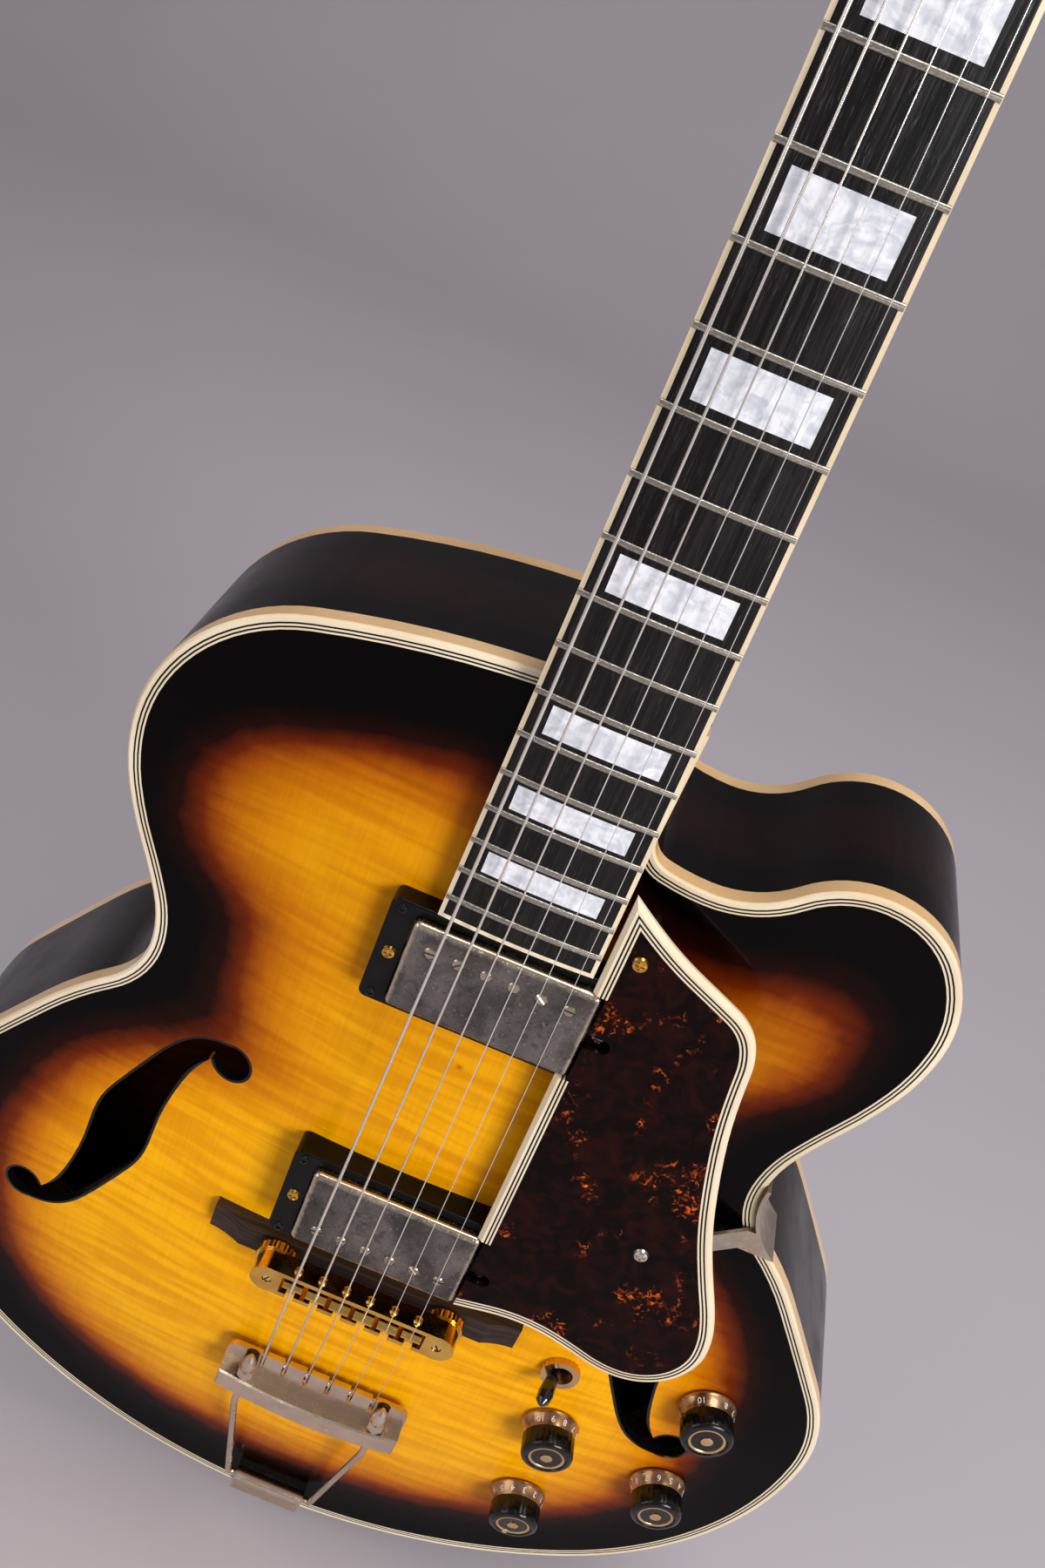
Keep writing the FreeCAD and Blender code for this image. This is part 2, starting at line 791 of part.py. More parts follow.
def make_nut():
    half = nut_width / 2 - 0.2
    face = Part.makePolygon([V(-half, board_thick - glue, 0), V(half, board_thick - glue, 0),
                             V(half, -nut_rise + 0.7, 0),
                             V(0, -nut_rise, 0), V(-half, -nut_rise + 0.7, 0),
                             V(-half, board_thick - glue, 0)])
    nut = Part.Face(face).extrude(V(0, 0, nut_long))
    slots = []
    for number, gauge in enumerate(string_gauges, 1):
        x = string_x(string_spread_nut, number)
        floor = -crown(x, string_lift_nut) + gauge / 2 + glue
        slots.append(block(x - gauge / 2 - glue, x + gauge / 2 + glue, -3 * nut_rise, floor, -1,
                           nut_long + 1))
    return placed(nut.cut(slots), neck_place)


def make_truss_rod():
    depth = board_thick + rod_depth
    start = -(join_run - 40)
    rod = Part.makeCylinder(rod_radius, 2 * nut_long - start, V(0, depth, start), Z_AXIS)
    tip = V(0, depth, 2 * nut_long)
    rod = rod.fuse(Part.makeCylinder(rod_nut_radius, 8, tip, Z_AXIS))
    return placed(rod, neck_place)


def make_truss_rod_cover():
    low = V(-cover_half, 0, 2)
    high = V(0, 0, 2 + cover_long)
    right = V(cover_half, 0, 2)
    shoulder = 2 + 0.45 * cover_long
    edges = [Part.LineSegment(low, right).toShape(),
             Part.Arc(right, V(cover_half * 0.86, 0, shoulder), high).toShape(),
             Part.Arc(high, V(-cover_half * 0.86, 0, shoulder), low).toShape()]
    plate = prism(Part.Wire(Part.sortEdges(edges)[0]), -cover_thick)
    plate.translate(V(0, -glue, 0))
    return placed(plate, head_place)


# Tuners, made in the headstock frame

def make_tuners():
    housings = []
    stem_y = head_thick + stem_depth
    for number, (x, z, side) in tuners.items():
        foot = V(x, stem_y - post_seat, z)
        top = head_thick + stem_depth + post_rise
        post = turned([(0, 0), (post_radius, 0), (post_radius, top - post_seat),
                       (post_radius * 0.75, top - 2),
                       (0, top - 2)], foot, V(0, -1, 0))
        bore = Part.makeCylinder(post_radius + fit, 3 * head_thick, foot + V(0, 2 * glue, 0), V(0, -1, 0))
        sleeve = Part.makeCylinder(post_radius + bushing_wall, head_thick, V(x, 0, z), Y_AXIS)
        washer = Part.makeCylinder(washer_radius, washer_thick, V(x, -washer_thick - glue, z), Y_AXIS)
        shell = block(x - housing_half, x + housing_half, head_thick + glue, head_thick + housing_tall,
                      z - housing_half, z + housing_half)
        shell = shell.makeChamfer(2.5,
                                  [e for e in shell.Edges if abs(e.tangentAt(e.FirstParameter).y) > 0.9])
        edge_x = button_start - 3
        boss = Part.makeCylinder(stem_radius + 2.2, edge_x - tuner_x, V(x, stem_y, z), V(side, 0, 0))
        stem_hole = Part.makeCylinder(stem_radius + fit, 2 * button_start, V(x + side * 3.4, stem_y, z),
                                      V(side, 0, 0))
        housings += shell.fuse(boss).cut([bore, stem_hole]).Solids
        housings += sleeve.fuse(washer).cut(bore).Solids
        stem = Part.makeCylinder(stem_radius, button_start - tuner_x - 3.5, V(x + side * 3.6, stem_y, z),
                                 V(side, 0, 0))
        middle = side * (button_start + button_long / 2)
        paddle = block(middle - button_long / 2, middle + button_long / 2, stem_y - button_thick / 2,
                       stem_y + button_thick / 2, z - button_half, z + button_half)
        paddle = paddle.makeFillet(button_half - 0.5, [e for e in paddle.Edges if e.BoundBox.YLength > 1])
        paddle = paddle.makeChamfer(1.8, [e for e in paddle.Edges if e.BoundBox.YLength < 1e-3])
        parts["tuner_post_%d" % number] = placed(post, head_place)
        parts["tuner_button_%d" % number] = placed(stem.fuse(paddle), head_place)
    parts["tuner_housings"] = placed(Part.Compound(housings), head_place)


# Strings

def tube(points, bends, radius, sides, tail_arc=None):
    """A many-sided rod along straight runs with tangent arcs; bends gives each inner point's arc radius."""
    edges = []
    start = points[0]
    for i, bend in enumerate(bends, 1):
        a = (points[i - 1] - points[i]).normalize()
        b = (points[i + 1] - points[i]).normalize()
        half = a.getAngle(b) / 2
        trim = bend / math.tan(half)
        middle = points[i] + (a + b).normalize() * (bend / math.sin(half) - bend)
        edges.append(Part.LineSegment(start, points[i] + a * trim).toShape())
        edges.append(Part.Arc(points[i] + a * trim, middle, points[i] + b * trim).toShape())
        start = points[i] + b * trim
    edges.append(Part.LineSegment(start, points[-1]).toShape())
    edges += tail_arc or []
    heading = edges[0].tangentAt(edges[0].FirstParameter)
    side = heading.cross(Y_AXIS if abs(heading.y) < 0.9 else Z_AXIS).normalize()
    corners = [points[0] + FreeCAD.Rotation(heading,
                                            360 * i / sides).multVec(side * radius) for i in range(sides)]
    ring = Part.makePolygon(corners + corners[:1])
    faces = [Part.Face(ring)]
    for edge in edges:
        first = edge.valueAt(edge.FirstParameter)
        if edge.Curve.TypeId == "Part::GeomLine":
            run = edge.valueAt(edge.LastParameter) - first
            walls = ring.extrude(run)
            ring = ring.translated(run)
        else:
            hub = edge.Curve.Center
            axis = (first - hub).cross(edge.tangentAt(edge.FirstParameter))
            angle = math.degrees(edge.Length / edge.Curve.Radius)
            walls = ring.revolve(hub, axis, angle)
            ring = ring.rotated(hub, axis, angle)
        faces += walls.Faces
    faces.append(Part.Face(ring))
    shell = Part.makeShell(faces)
    shell.sewShape()
    solid = Part.makeSolid(shell)
    return solid if solid.Volume > 0 else solid.reversed()


def post_wrap(number, gauge, leave):
    """Where a string touches its post, and the arc that it takes round it."""
    x, z, side = tuners[number]
    hub = head_place.multVec(V(x, -wrap_rise, z))
    axis = head_place.Rotation.multVec(Y_AXIS)
    reach = post_radius + gauge / 2 + 2 * fit
    flat = hub - leave
    flat = flat - axis * flat.dot(axis)
    turn = math.acos(reach / flat.Length)
    toward = flat.normalize() * -1
    spoke = FreeCAD.Rotation(axis, math.degrees(turn) * side).multVec(toward)
    touch = hub + spoke * reach
    run = (touch - leave).normalize()
    arcs = []
    last = touch
    for quarter in (1, 2):
        angles = [math.radians(135 * (quarter - 1) + step) for step in (67.5, 135)]
        mid, end = [hub + (spoke * math.cos(a) + run * math.sin(a)) * reach for a in angles]
        arcs.append(Part.Arc(last, mid, end).toShape())
        last = end
    return touch, arcs


def make_strings():
    solids = []
    for number, gauge in enumerate(string_gauges, 1):
        radius = gauge / 2
        saddle = string_point(number, 1)
        nut = string_point(number, 0)
        slot = V(string_x(string_spread_tail, number), front_y - tail_shelf_lift - radius - 0.6,
                 tail_front_z - tail_slot_long + 2.2)
        anchor = V(slot.x, front_y - tail_shelf_lift + tail_shelf_thick + ball_radius + 0.3, slot.z - 0.3)
        behind = neck_place.multVec(V(string_x(string_spread_nut, number), -crown(nut.x, string_lift_nut),
                                      nut_long))
        touch, arcs = post_wrap(number, gauge, behind)
        string = tube([anchor, slot, saddle, behind, touch], [2.0, 3.0, 8.0], radius, 8, arcs)
        ball = Part.makeCylinder(ball_radius, 2 * ball_radius, anchor - X_AXIS * ball_radius, X_AXIS)
        solids += string.fuse(ball).Solids
    return Part.Compound(solids)


# Pickups, each in a frame on its cover's face, tilted with the strings

def pickup_place(z, drop):
    return FreeCAD.Placement(V(0, string_plane_y(z) + drop, z), FreeCAD.Rotation(X_AXIS, -string_tilt))


pickups = {"neck": (pickup_place(neck_pickup_z, neck_cover_drop), 1),
           "bridge": (pickup_place(bridge_pickup_z, bridge_cover_drop), -1)}


def pole_places(row):
    return [(string_x(string_spread_bridge, number), row * pole_offset) for number in range(1, 7)]


def make_cover(row):
    shell = block(-cover_x / 2, cover_x / 2, 0, cover_tall, -cover_z / 2, cover_z / 2)
    rounded = [e for e in shell.Edges if e.BoundBox.YMin < cover_tall - 0.1]
    shell = shell.makeFillet(cover_round, rounded)
    inner = block(-cover_x / 2 + cover_wall, cover_x / 2 - cover_wall, cover_wall, 2 * cover_tall,
                  -cover_z / 2 + cover_wall, cover_z / 2 - cover_wall)
    inner = inner.makeFillet(cover_round - cover_wall,
                             [e for e in inner.Edges if e.BoundBox.YMin < cover_tall - 0.1])
    holes = [Part.makeCylinder(pole_radius + fit, 3 * cover_round, V(x, -1, z), Y_AXIS) for x,
             z in pole_places(row)]
    return shell.cut([inner] + holes)


def make_core(row):
    """Two bobbins, the base plate with its bent legs, and six pole screws."""
    top = cover_wall + 0.3
    solids = []
    poles = pole_places(row)
    bores = [Part.makeCylinder(pole_radius + fit, 2 * cover_tall, V(x, -1, z), Y_AXIS) for x, z in poles]
    for side in (-1, 1):
        bobbin = block(-bobbin_x / 2, bobbin_x / 2, top, top + bobbin_tall,
                       side * pole_offset - bobbin_z / 2,
                       side * pole_offset + bobbin_z / 2)
        ends = [e for e in bobbin.Edges if abs(e.tangentAt(e.FirstParameter).y) > 0.9]
        solids += bobbin.makeFillet(bobbin_z / 2 - 0.5, ends).cut(bores).Solids
    inset = 2 * cover_wall
    plate = block(-cover_x / 2 + inset, cover_x / 2 - inset, cover_tall - base_plate, cover_tall,
                  -cover_z / 2 + inset,
                  cover_z / 2 - inset)
    legs = []
    for side in (-1, 1):
        near = cover_x / 2 - inset
        strip = block(near - base_plate, near, cover_tall - base_plate, cover_tall + leg_drop, -leg_half,
                      leg_half)
        foot = block(near - base_plate, leg_reach, cover_tall + leg_drop - base_plate, cover_tall + leg_drop,
                     -leg_half,
                     leg_half)
        leg = strip.fuse(foot)
        hole = Part.makeCylinder(screw_shank + 2 * fit, 4 * leg_drop,
                                 V(height_screw_x, cover_tall - leg_drop, 0), Y_AXIS)
        leg = leg.cut(hole)
        legs.append(leg if side > 0 else mirrored(leg))
    solids += plate.fuse(legs).cut(bores).Solids
    for i, (x, z) in enumerate(poles):
        crown_y = -pole_proud
        pole = turned([(0, 0), (pole_radius, 0), (pole_radius, cover_tall + 1.6),
                       (pole_radius - 0.4, cover_tall + 2),
                       (0, cover_tall + 2)], V(x, crown_y + cover_tall + 2, z), V(0, -1, 0))
        slot = block(-pole_radius, pole_radius, crown_y, crown_y + recess_deep, -recess_wide / 2,
                     recess_wide / 2)
        slot.rotate(V(0, 0, 0), Y_AXIS, 35.0 * i)
        slot.translate(V(x, 0, z))
        solids.append(pole.cut(slot))
    return Part.Compound(solids)


def make_ring(place):
    """A frame round the cover whose foot is fitted to the arched top."""
    top = cover_stands
    deep = 3 * top_rise
    half_x = ring_x / 2
    half_z = ring_z / 2
    frame = block(-half_x, half_x, top, top + deep, -half_z, half_z)
    frame = frame.makeFillet(3.0, [e for e in frame.Edges if abs(e.tangentAt(e.FirstParameter).y) > 0.9])
    frame = frame.makeFillet(0.8, [e for e in frame.Edges if e.BoundBox.YMax < top + 0.01])
    open_x = cover_x / 2 + ring_gap
    open_z = cover_z / 2 + ring_gap
    opening = block(-open_x, open_x, 0, 2 * deep, -open_z, open_z)
    opening = opening.makeFillet(cover_round,
                                 [e for e in opening.Edges if abs(e.tangentAt(e.FirstParameter).y) > 0.9])
    holes = [Part.makeCylinder(screw_shank + fit, 2 * deep, V(x, 0, z), Y_AXIS) for x,
             z in ring_screw_places()]
    holes += [Part.makeCylinder(screw_shank + fit, 2 * deep, V(side * height_screw_x, 0, 0),
                                Y_AXIS) for side in (-1, 1)]
    return clear_of_top(placed(frame.cut([opening] + holes), place), glue)


def ring_screw_places():
    return [(x, z) for x in (-ring_screw_x, ring_screw_x) for z in (-ring_screw_z, ring_screw_z)]


def make_pickups():
    rings = []
    black = []
    gold = []
    out = V(0, -1, 0)
    for name, (place, row) in pickups.items():
        parts["%s_pickup_cover" % name] = placed(make_cover(row), place)
        parts["%s_pickup_core" % name] = placed(make_core(row), place)
        rings.append(make_ring(place))
        seat = cover_stands - glue
        for x, z in ring_screw_places():
            black.append(placed(screw(V(x, seat, z), out, 1.9, 0.9, screw_shank, screw_long), place))
        for side in (-1, 1):
            long = cover_tall + leg_drop - seat + 3
            gold.append(placed(screw(V(side * height_screw_x, seat, 0), out, screw_head, 1.4, screw_shank,
                                     long), place))
    parts["pickup_rings"] = Part.Compound(rings)
    return black, gold


# Pickguard: a plate over the rings, along the board and round the covers

def guard_lift(name):
    """Centre height of the guard's underside over a ring."""
    place = pickups[name][0]
    return place.multVec(V(0, cover_stands - guard_over_ring, 0))


guard_low = guard_lift("bridge")
guard_high = guard_lift("neck")
guard_tilt = math.degrees(math.atan2(guard_high.y - guard_low.y, guard_high.z - guard_low.z))
guard_place = FreeCAD.Placement(guard_low, FreeCAD.Rotation(X_AXIS, -guard_tilt))
guard_run = (guard_high - guard_low).Length


def guard_wire():
    """The outline in the guard's own plane, run on beneath the bridge pickup, whose middle is at z 0."""
    tip_x = board_end_width / 2 + guard_board_gap - guard_past_board * board_taper
    tip = V(tip_x, 0, guard_run + neck_pickup_past + guard_past_board)
    bottom = -cover_z / 2
    hidden = cover_x / 2 - 12.0
    right = [(tip.x, tip.z, -37), (guard_left + 29.5, guard_run + 42.0, -24),
             (guard_left + 56.1, guard_run + 23.5, -66),
             (guard_left + 60.6, guard_run + 1.1, -82), (guard_left + 73.4, bottom + 96.6, -72),
             (guard_left + 91.0, bottom + 55.3, -63.5), (guard_left + 99.9, bottom + 27.0, -86),
             (guard_left + 71.0, bottom - 3.7, -180), (guard_left + 43.0, bottom + 2.4, -193),
             (hidden, bottom - 3.7, -167)]
    left = [V(hidden, 0, bottom - 3.7), V(hidden, 0, 0), V(guard_left, 0, 0), tip]
    edges = tangent_edges(right, 0) + [Part.LineSegment(a, b).toShape() for a, b in zip(left, left[1:])]
    return Part.Wire(Part.sortEdges(edges)[0])


def guard_slab(inset):
    """The guard's plate, as far in from its outline as inset."""
    wire = guard_wire()
    return prism(wire.makeOffset2D(-inset) if inset else wire, -guard_thick)


def guard_notches():
    """Room for the two covers and, beside each, for the round-ended notch over its height screw."""
    cut_x = cover_x / 2 + guard_gap
    reach = cover_z / 2 + guard_gap
    ear_x = cover_x / 2 + guard_ear_long - guard_ear_half
    low = -2 * guard_thick
    notches = []
    for z, back in ((0, 2 * reach), (guard_run, reach)):
        notches.append(block(0, cut_x, low, guard_thick, z - back, z + reach))
        notches.append(block(0, ear_x, low, guard_thick, z - guard_ear_half, z + guard_ear_half))
        notches.append(Part.makeCylinder(guard_ear_half, 3 * guard_thick, V(ear_x, low, z), Y_AXIS))
    return notches


def make_pickguard():
    """The tortoise plate with its bevelled cream edge and lines; returns its screws and black lines."""
    whole = guard_slab(0)
    rim = [e for e in whole.Edges if e.BoundBox.YMax < 0.01 - guard_thick]
    whole = whole.makeChamfer(guard_bevel, rim)
    insets = [guard_binding + i * guard_line for i in range(guard_lines + 1)]
    slabs = [whole] + [guard_slab(inset) for inset in insets]
    reach = cover_z / 2 + guard_gap
    past = guard_left + insets[-1] + guard_gap
    plain = [block(0, past, -2 * guard_thick, guard_thick, z - back, z + reach)
             for z, back in ((0, cover_z / 4), (guard_run, reach))]
    notches = guard_notches()
    strips = [outer.cut([inner] + plain + notches) for outer, inner in zip(slabs, slabs[1:])]
    upper = V(guard_left + guard_screw_inset, 0, guard_run + cover_z - guard_screw_back + neck_pickup_past)
    lower = V(guard_left + guard_screw_over, 0, cover_z / 2 + guard_screw_ahead)
    holes = [Part.makeCylinder(screw_shank + fit, 4 * guard_thick, V(p.x, -2 * guard_thick, p.z), Y_AXIS)
             for p in (upper, lower)]
    parts["pickguard"] = placed(whole.cut(strips + notches + holes), guard_place)
    cream = [placed(solid, guard_place) for strip in strips[::2] for solid in strip.Solids]
    parts["pickguard_binding"] = Part.Compound(cream)
    black = [placed(solid, guard_place) for strip in strips[1::2] for solid in strip.Solids]
    seats = [guard_place.multVec(V(p.x, -guard_thick - glue, p.z)) for p in (upper, lower)]
    out = guard_place.Rotation.multVec(V(0, -1, 0))
    gold = [screw(seat, out, guard_screw_head, 1.4, screw_shank, long) for seat, long in zip(seats, (9, 6))]
    return gold, black, upper, lower


def bent_strip(path, thick, wide):
    """A strip bent along path, which lies at one z; the strip runs from there by wide towards the neck."""
    outline = []
    for side in (1, -1):
        line = []
        for i, point in enumerate(path):
            before = (path[max(i, 1)] - path[max(i, 1) - 1]).normalize()
            after = (path[i + 1] - point).normalize() if i + 1 < len(path) else before
            normal = Z_AXIS.cross((before + after).normalize())
            line.append(point + normal * (side * thick / 2 / normal.dot(Z_AXIS.cross(before))))
        outline += line if side > 0 else line[::-1]
    return Part.Face(Part.makePolygon(outline + outline[:1])).extrude(Z_AXIS * wide)


def make_bracket(upper, lower):
    """A bent strip from under the guard to its foot on the rib, and the stand-off near the board."""
    seat = guard_place.multVec(V(lower.x, bracket_gap + bracket_thick / 2, lower.z))
    low_z = seat.z + bracket_beside_screw - bracket_half
    high_z = low_z + 2 * bracket_half
    rim_y = front_y - bracket_lift
    near = rim_frame(high_z)[0].x
    far = rim_frame(low_z)[0].x
    path = [V(seat.x - bracket_lap, seat.y, low_z), V(seat.x + bracket_lap, seat.y, low_z),
            V(near - bracket_lap / 2, rim_y, low_z), V(far + 2 * bracket_lap, rim_y, low_z)]
    strip = bent_strip(path, bracket_thick, 2 * bracket_half)
    shell = glue + bracket_thick
    strip = strip.common(prism(body_wire(-shell, 3 * front_y), front_y))
    foot = body_ring(-shell, -glue, rim_y - bracket_thick / 2, front_y + bracket_foot_tall)
    foot = foot.common(block(0, 2 * lower_half, 2 * front_y, back_y, low_z, low_z + bracket_foot_long))
    along_guard = guard_place.Rotation.multVec(Y_AXIS)
    hole = Part.makeCylinder(screw_shank + fit, 30, guard_place.multVec(V(lower.x, -10, lower.z)),
                             along_guard)
    standoff = Part.makeCylinder(standoff_half, 4 * top_rise, guard_place.multVec(V(upper.x, glue, upper.z)),
                                 along_guard)
    bore = Part.makeCylinder(screw_shank + fit, 12, guard_place.multVec(V(upper.x, -1, upper.z)),
                             along_guard)
    standoff = clear_of_top(standoff, glue).cut(bore)
    bracket = strip.fuse(foot).removeSplitter().cut(hole)
    return Part.Compound(bracket.Solids + standoff.Solids)


# Bridge

bar_top_y = saddle_mid.y + bar_drop
bar_low_y = bar_top_y + bridge_bar_tall
wheel_low_y = bar_low_y + wheel_thick
base_top_y = wheel_low_y + wheel_gap


def make_bridge_base():
    """A wooden foot fitted to the top, highest under the posts, thin at its tips."""
    half = base_wide / 2
    foot_y = top_y(base_half, bridge_z) - base_foot
    crest = post_spread / 2 + 9
    path = [V(-base_half, foot_y, 0), V(-crest - 8, base_top_y, 0), V(crest + 8, base_top_y, 0),
            V(base_half, foot_y, 0)]
    left = Part.Arc(path[0], V(-crest - 17, (foot_y + base_top_y) / 2 + 1.2, 0), path[1]).toShape()
    right = Part.Arc(path[2], V(crest + 17, (foot_y + base_top_y) / 2 + 1.2, 0), path[3]).toShape()
    low = [V(base_half, front_y, 0), V(-base_half, front_y, 0)]
    edges = [left, Part.LineSegment(path[1], path[2]).toShape(), right,
             Part.LineSegment(path[3], low[0]).toShape(),
             Part.LineSegment(*low).toShape(), Part.LineSegment(low[1], path[0]).toShape()]
    slab = Part.Face(Part.Wire(edges)).extrude(V(0, 0, base_wide))
    slab.translate(V(0, 0, bridge_z - half))
    arch_gap = block(-post_spread / 2 + 14, post_spread / 2 - 14, front_y - 3 * top_rise, front_y,
                     bridge_z - base_wide,
                     bridge_z + base_wide)
    arch_gap = arch_gap.common(relief_under_bridge())
    holes = [Part.makeCylinder(bridge_post_radius + fit, 6.0, V(x, base_top_y - 0.5, bridge_z), Y_AXIS)
             for x in (-post_spread / 2, post_spread / 2)]
    return clear_of_top(slab, glue).cut([arch_gap] + holes)


def relief_under_bridge():
    """The space that the base's shallow middle arch leaves above the top."""
    tool = under_top.copy()
    tool.translate(V(0, -2.0, 0))
    return tool


def knurled(radius, teeth, low_y, high_y, x, z):
    points = []
    for i in range(2 * teeth):
        reach = radius if i % 2 == 0 else radius * 0.95
        angle = math.pi * i / teeth
        points.append(V(x + reach * math.cos(angle), low_y, z + reach * math.sin(angle)))
    return prism(Part.makePolygon(points + points[:1]), high_y)


def make_bridge():
    posts = []
    lugs = []
    for name, x in (("bass", -post_spread / 2), ("treble", post_spread / 2)):
        wheel = knurled(wheel_radius, wheel_teeth, bar_low_y + saddle_gap, wheel_low_y, x, bridge_z)
        bore = Part.makeCylinder(bridge_post_radius + fit, 60, V(x, bar_top_y - 20, bridge_z), Y_AXIS)
        parts["thumbwheel_%s" % name] = wheel.cut(bore)
        posts.append(Part.makeCylinder(bridge_post_radius, base_top_y + 5 - bar_top_y - 0.5,
                                       V(x, bar_top_y + 0.5, bridge_z), Y_AXIS))
        lugs.append(Part.makeCylinder(bridge_lug_radius, bridge_bar_tall, V(x, bar_top_y, bridge_z), Y_AXIS))
    inner_half = 3 * string_spread_bridge / 5
    half_z = bridge_bar_wide / 2
    bar = block(-post_spread / 2, post_spread / 2, bar_top_y, bar_low_y, bridge_z - half_z,
                bridge_z + half_z)
    bar = bar.fuse(lugs).removeSplitter()
    channel = block(-inner_half, inner_half, bar_top_y - 1, bar_low_y - bridge_bar_wall,
                    bridge_z - half_z + bridge_bar_wall, bridge_z + half_z - bridge_bar_wall)
    bores = [Part.makeCylinder(bridge_post_radius + fit, 60, V(x, bar_top_y - 20, bridge_z), Y_AXIS)
             for x in (-post_spread / 2, post_spread / 2)]
    screw_y = bar_top_y + saddle_screw_drop
    screws = []
    holes = []
    notches = []
    for number, gauge in enumerate(string_gauges, 1):
        point = string_point(number, 1)
        axis_at = V(point.x, screw_y, bridge_z + half_z + 0.2)
        holes.append(Part.makeCylinder(saddle_screw_radius + fit, 2 * bridge_bar_wide, axis_at - Z_AXIS * 24,
                                       Z_AXIS))
        screws.append(screw(axis_at, Z_AXIS, 2.0, 1.4, saddle_screw_radius, bridge_bar_wide - 0.4))
        parts["saddle_%d" % number] = make_saddle(point, gauge, screw_y)
        notches.append(block(point.x - string_notch_wide / 2, point.x + string_notch_wide / 2, bar_top_y - 1,
                             bar_top_y + string_notch_deep, bridge_z - bridge_bar_wide, bridge_z))
    bar = bar.cut([channel] + bores + holes + notches)
    parts["bridge_bar"] = Part.Compound(bar.Solids + screws)
    parts["bridge_posts"] = Part.Compound(posts)


def make_saddle(point, gauge, screw_y):
    """A block on its screw, with a knife edge under the string."""
    low = bar_low_y - bridge_bar_wall - saddle_gap
    edge = point.y + gauge / 2 + 2 * glue
    half = saddle_thick / 2
    shape = Part.makePolygon([V(0, low, -half), V(0, bar_top_y + saddle_shoulder, -half), V(0, edge, -0.5),
                              V(0, edge, 0.5),
                              V(0, bar_top_y + saddle_shoulder, half), V(0, low, half), V(0, low, -half)])
    saddle = Part.Face(shape).extrude(V(saddle_wide, 0, 0))
    saddle.translate(V(point.x - saddle_wide / 2, 0, bridge_z))
    bore = Part.makeCylinder(saddle_screw_radius + fit, 3 * saddle_thick, V(point.x, screw_y, bridge_z - 6),
                             Z_AXIS)
    return saddle.cut(bore)


# Tailpiece

hinge_y = front_y - hinge_lift


def make_tailpiece_bar():
    """The stepped cross bar with its slots, the two wire arms and their acorn nuts."""
    top = front_y - tail_top_lift
    low = front_y - tail_block_lift
    shelf = front_y - tail_shelf_lift
    back = [V(tail_half, top, tail_back_z), V(0, top, tail_back_z - tail_bow),
            V(-tail_half, top, tail_back_z)]
    front = [point + V(0, 0, tail_step_z - tail_back_z) for point in reversed(back)]
    edges = [Part.Arc(*back).toShape(), Part.LineSegment(back[2], front[0]).toShape(),
             Part.Arc(*front).toShape(), Part.LineSegment(front[2], back[0]).toShape()]
    bar = prism(Part.Wire(edges), low)
    bar = bar.makeChamfer(0.8, [e for e in bar.Edges if e.BoundBox.YMax < top + 0.01])
    shelf_slab = block(-tail_half, tail_half, shelf, shelf + tail_shelf_thick, tail_step_z - tail_bow - 1,
                       tail_front_z)
    fronts = [e for e in shelf_slab.Edges if e.BoundBox.ZMin > tail_front_z - 0.1]
    shelf_slab = shelf_slab.makeFillet(5.0, [e for e in fronts if e.BoundBox.YLength > 1])
    bar = bar.fuse(shelf_slab).removeSplitter()
    slots = []
    for number in range(1, 7):
        x = string_x(string_spread_tail, number)
        slots.append(block(x - tail_slot_wide / 2, x + tail_slot_wide / 2, top, low + 1,
                           tail_front_z - tail_slot_long, tail_front_z + 1))
    wire_y = (top + shelf) / 2
    bores = [Part.makeCylinder(wire_radius + fit, 40, V(x, wire_y, tail_back_z - 10), Z_AXIS)
             for x in (-arm_top_x, arm_top_x)]
    scoops = [Part.makeCylinder(nut_hex + 0.3, 40, V(x, wire_y, tail_step_z), Z_AXIS) for x in (-arm_top_x,
                                                                                                arm_top_x)]
    bar = bar.cut(slots + bores + scoops)
    solids = bar.Solids
    for side in (-1, 1):
        inner = V(side * 4.0, hinge_y, hinge_z)
        foot = V(side * arm_foot_x, hinge_y, hinge_z)
        neck_point = V(side * arm_top_x, wire_y, tail_back_z - tail_bow - 6)
        tip = V(side * arm_top_x, wire_y, tail_step_z + nut_hex_long)
        solids += tube([inner, foot, neck_point, tip], [3.2, 12.0], wire_radius, 16).Solids
        seat = V(side * arm_top_x, wire_y, tail_step_z + glue)
        hexagon = [V(seat.x + nut_hex * math.sin(math.radians(60 * i)),
                     seat.y + nut_hex * math.cos(math.radians(60 * i)),
                     seat.z) for i in range(7)]
        nut = Part.Face(Part.makePolygon(hexagon)).extrude(Z_AXIS * nut_hex_long)
        dome = turned([(0, 0), (nut_hex * 0.84, 0), (nut_hex * 0.84, 3), (nut_hex * 0.6, 6.5),
                       (nut_hex * 0.25, nut_dome_long),
                       (0, nut_dome_long)], seat + Z_AXIS * nut_hex_long, Z_AXIS)
        bore = Part.makeCylinder(wire_radius + fit, nut_hex_long + 0.5, seat - Z_AXIS * 0.2, Z_AXIS)
        solids += nut.fuse(dome).cut(bore).Solids
    return Part.Compound(solids)


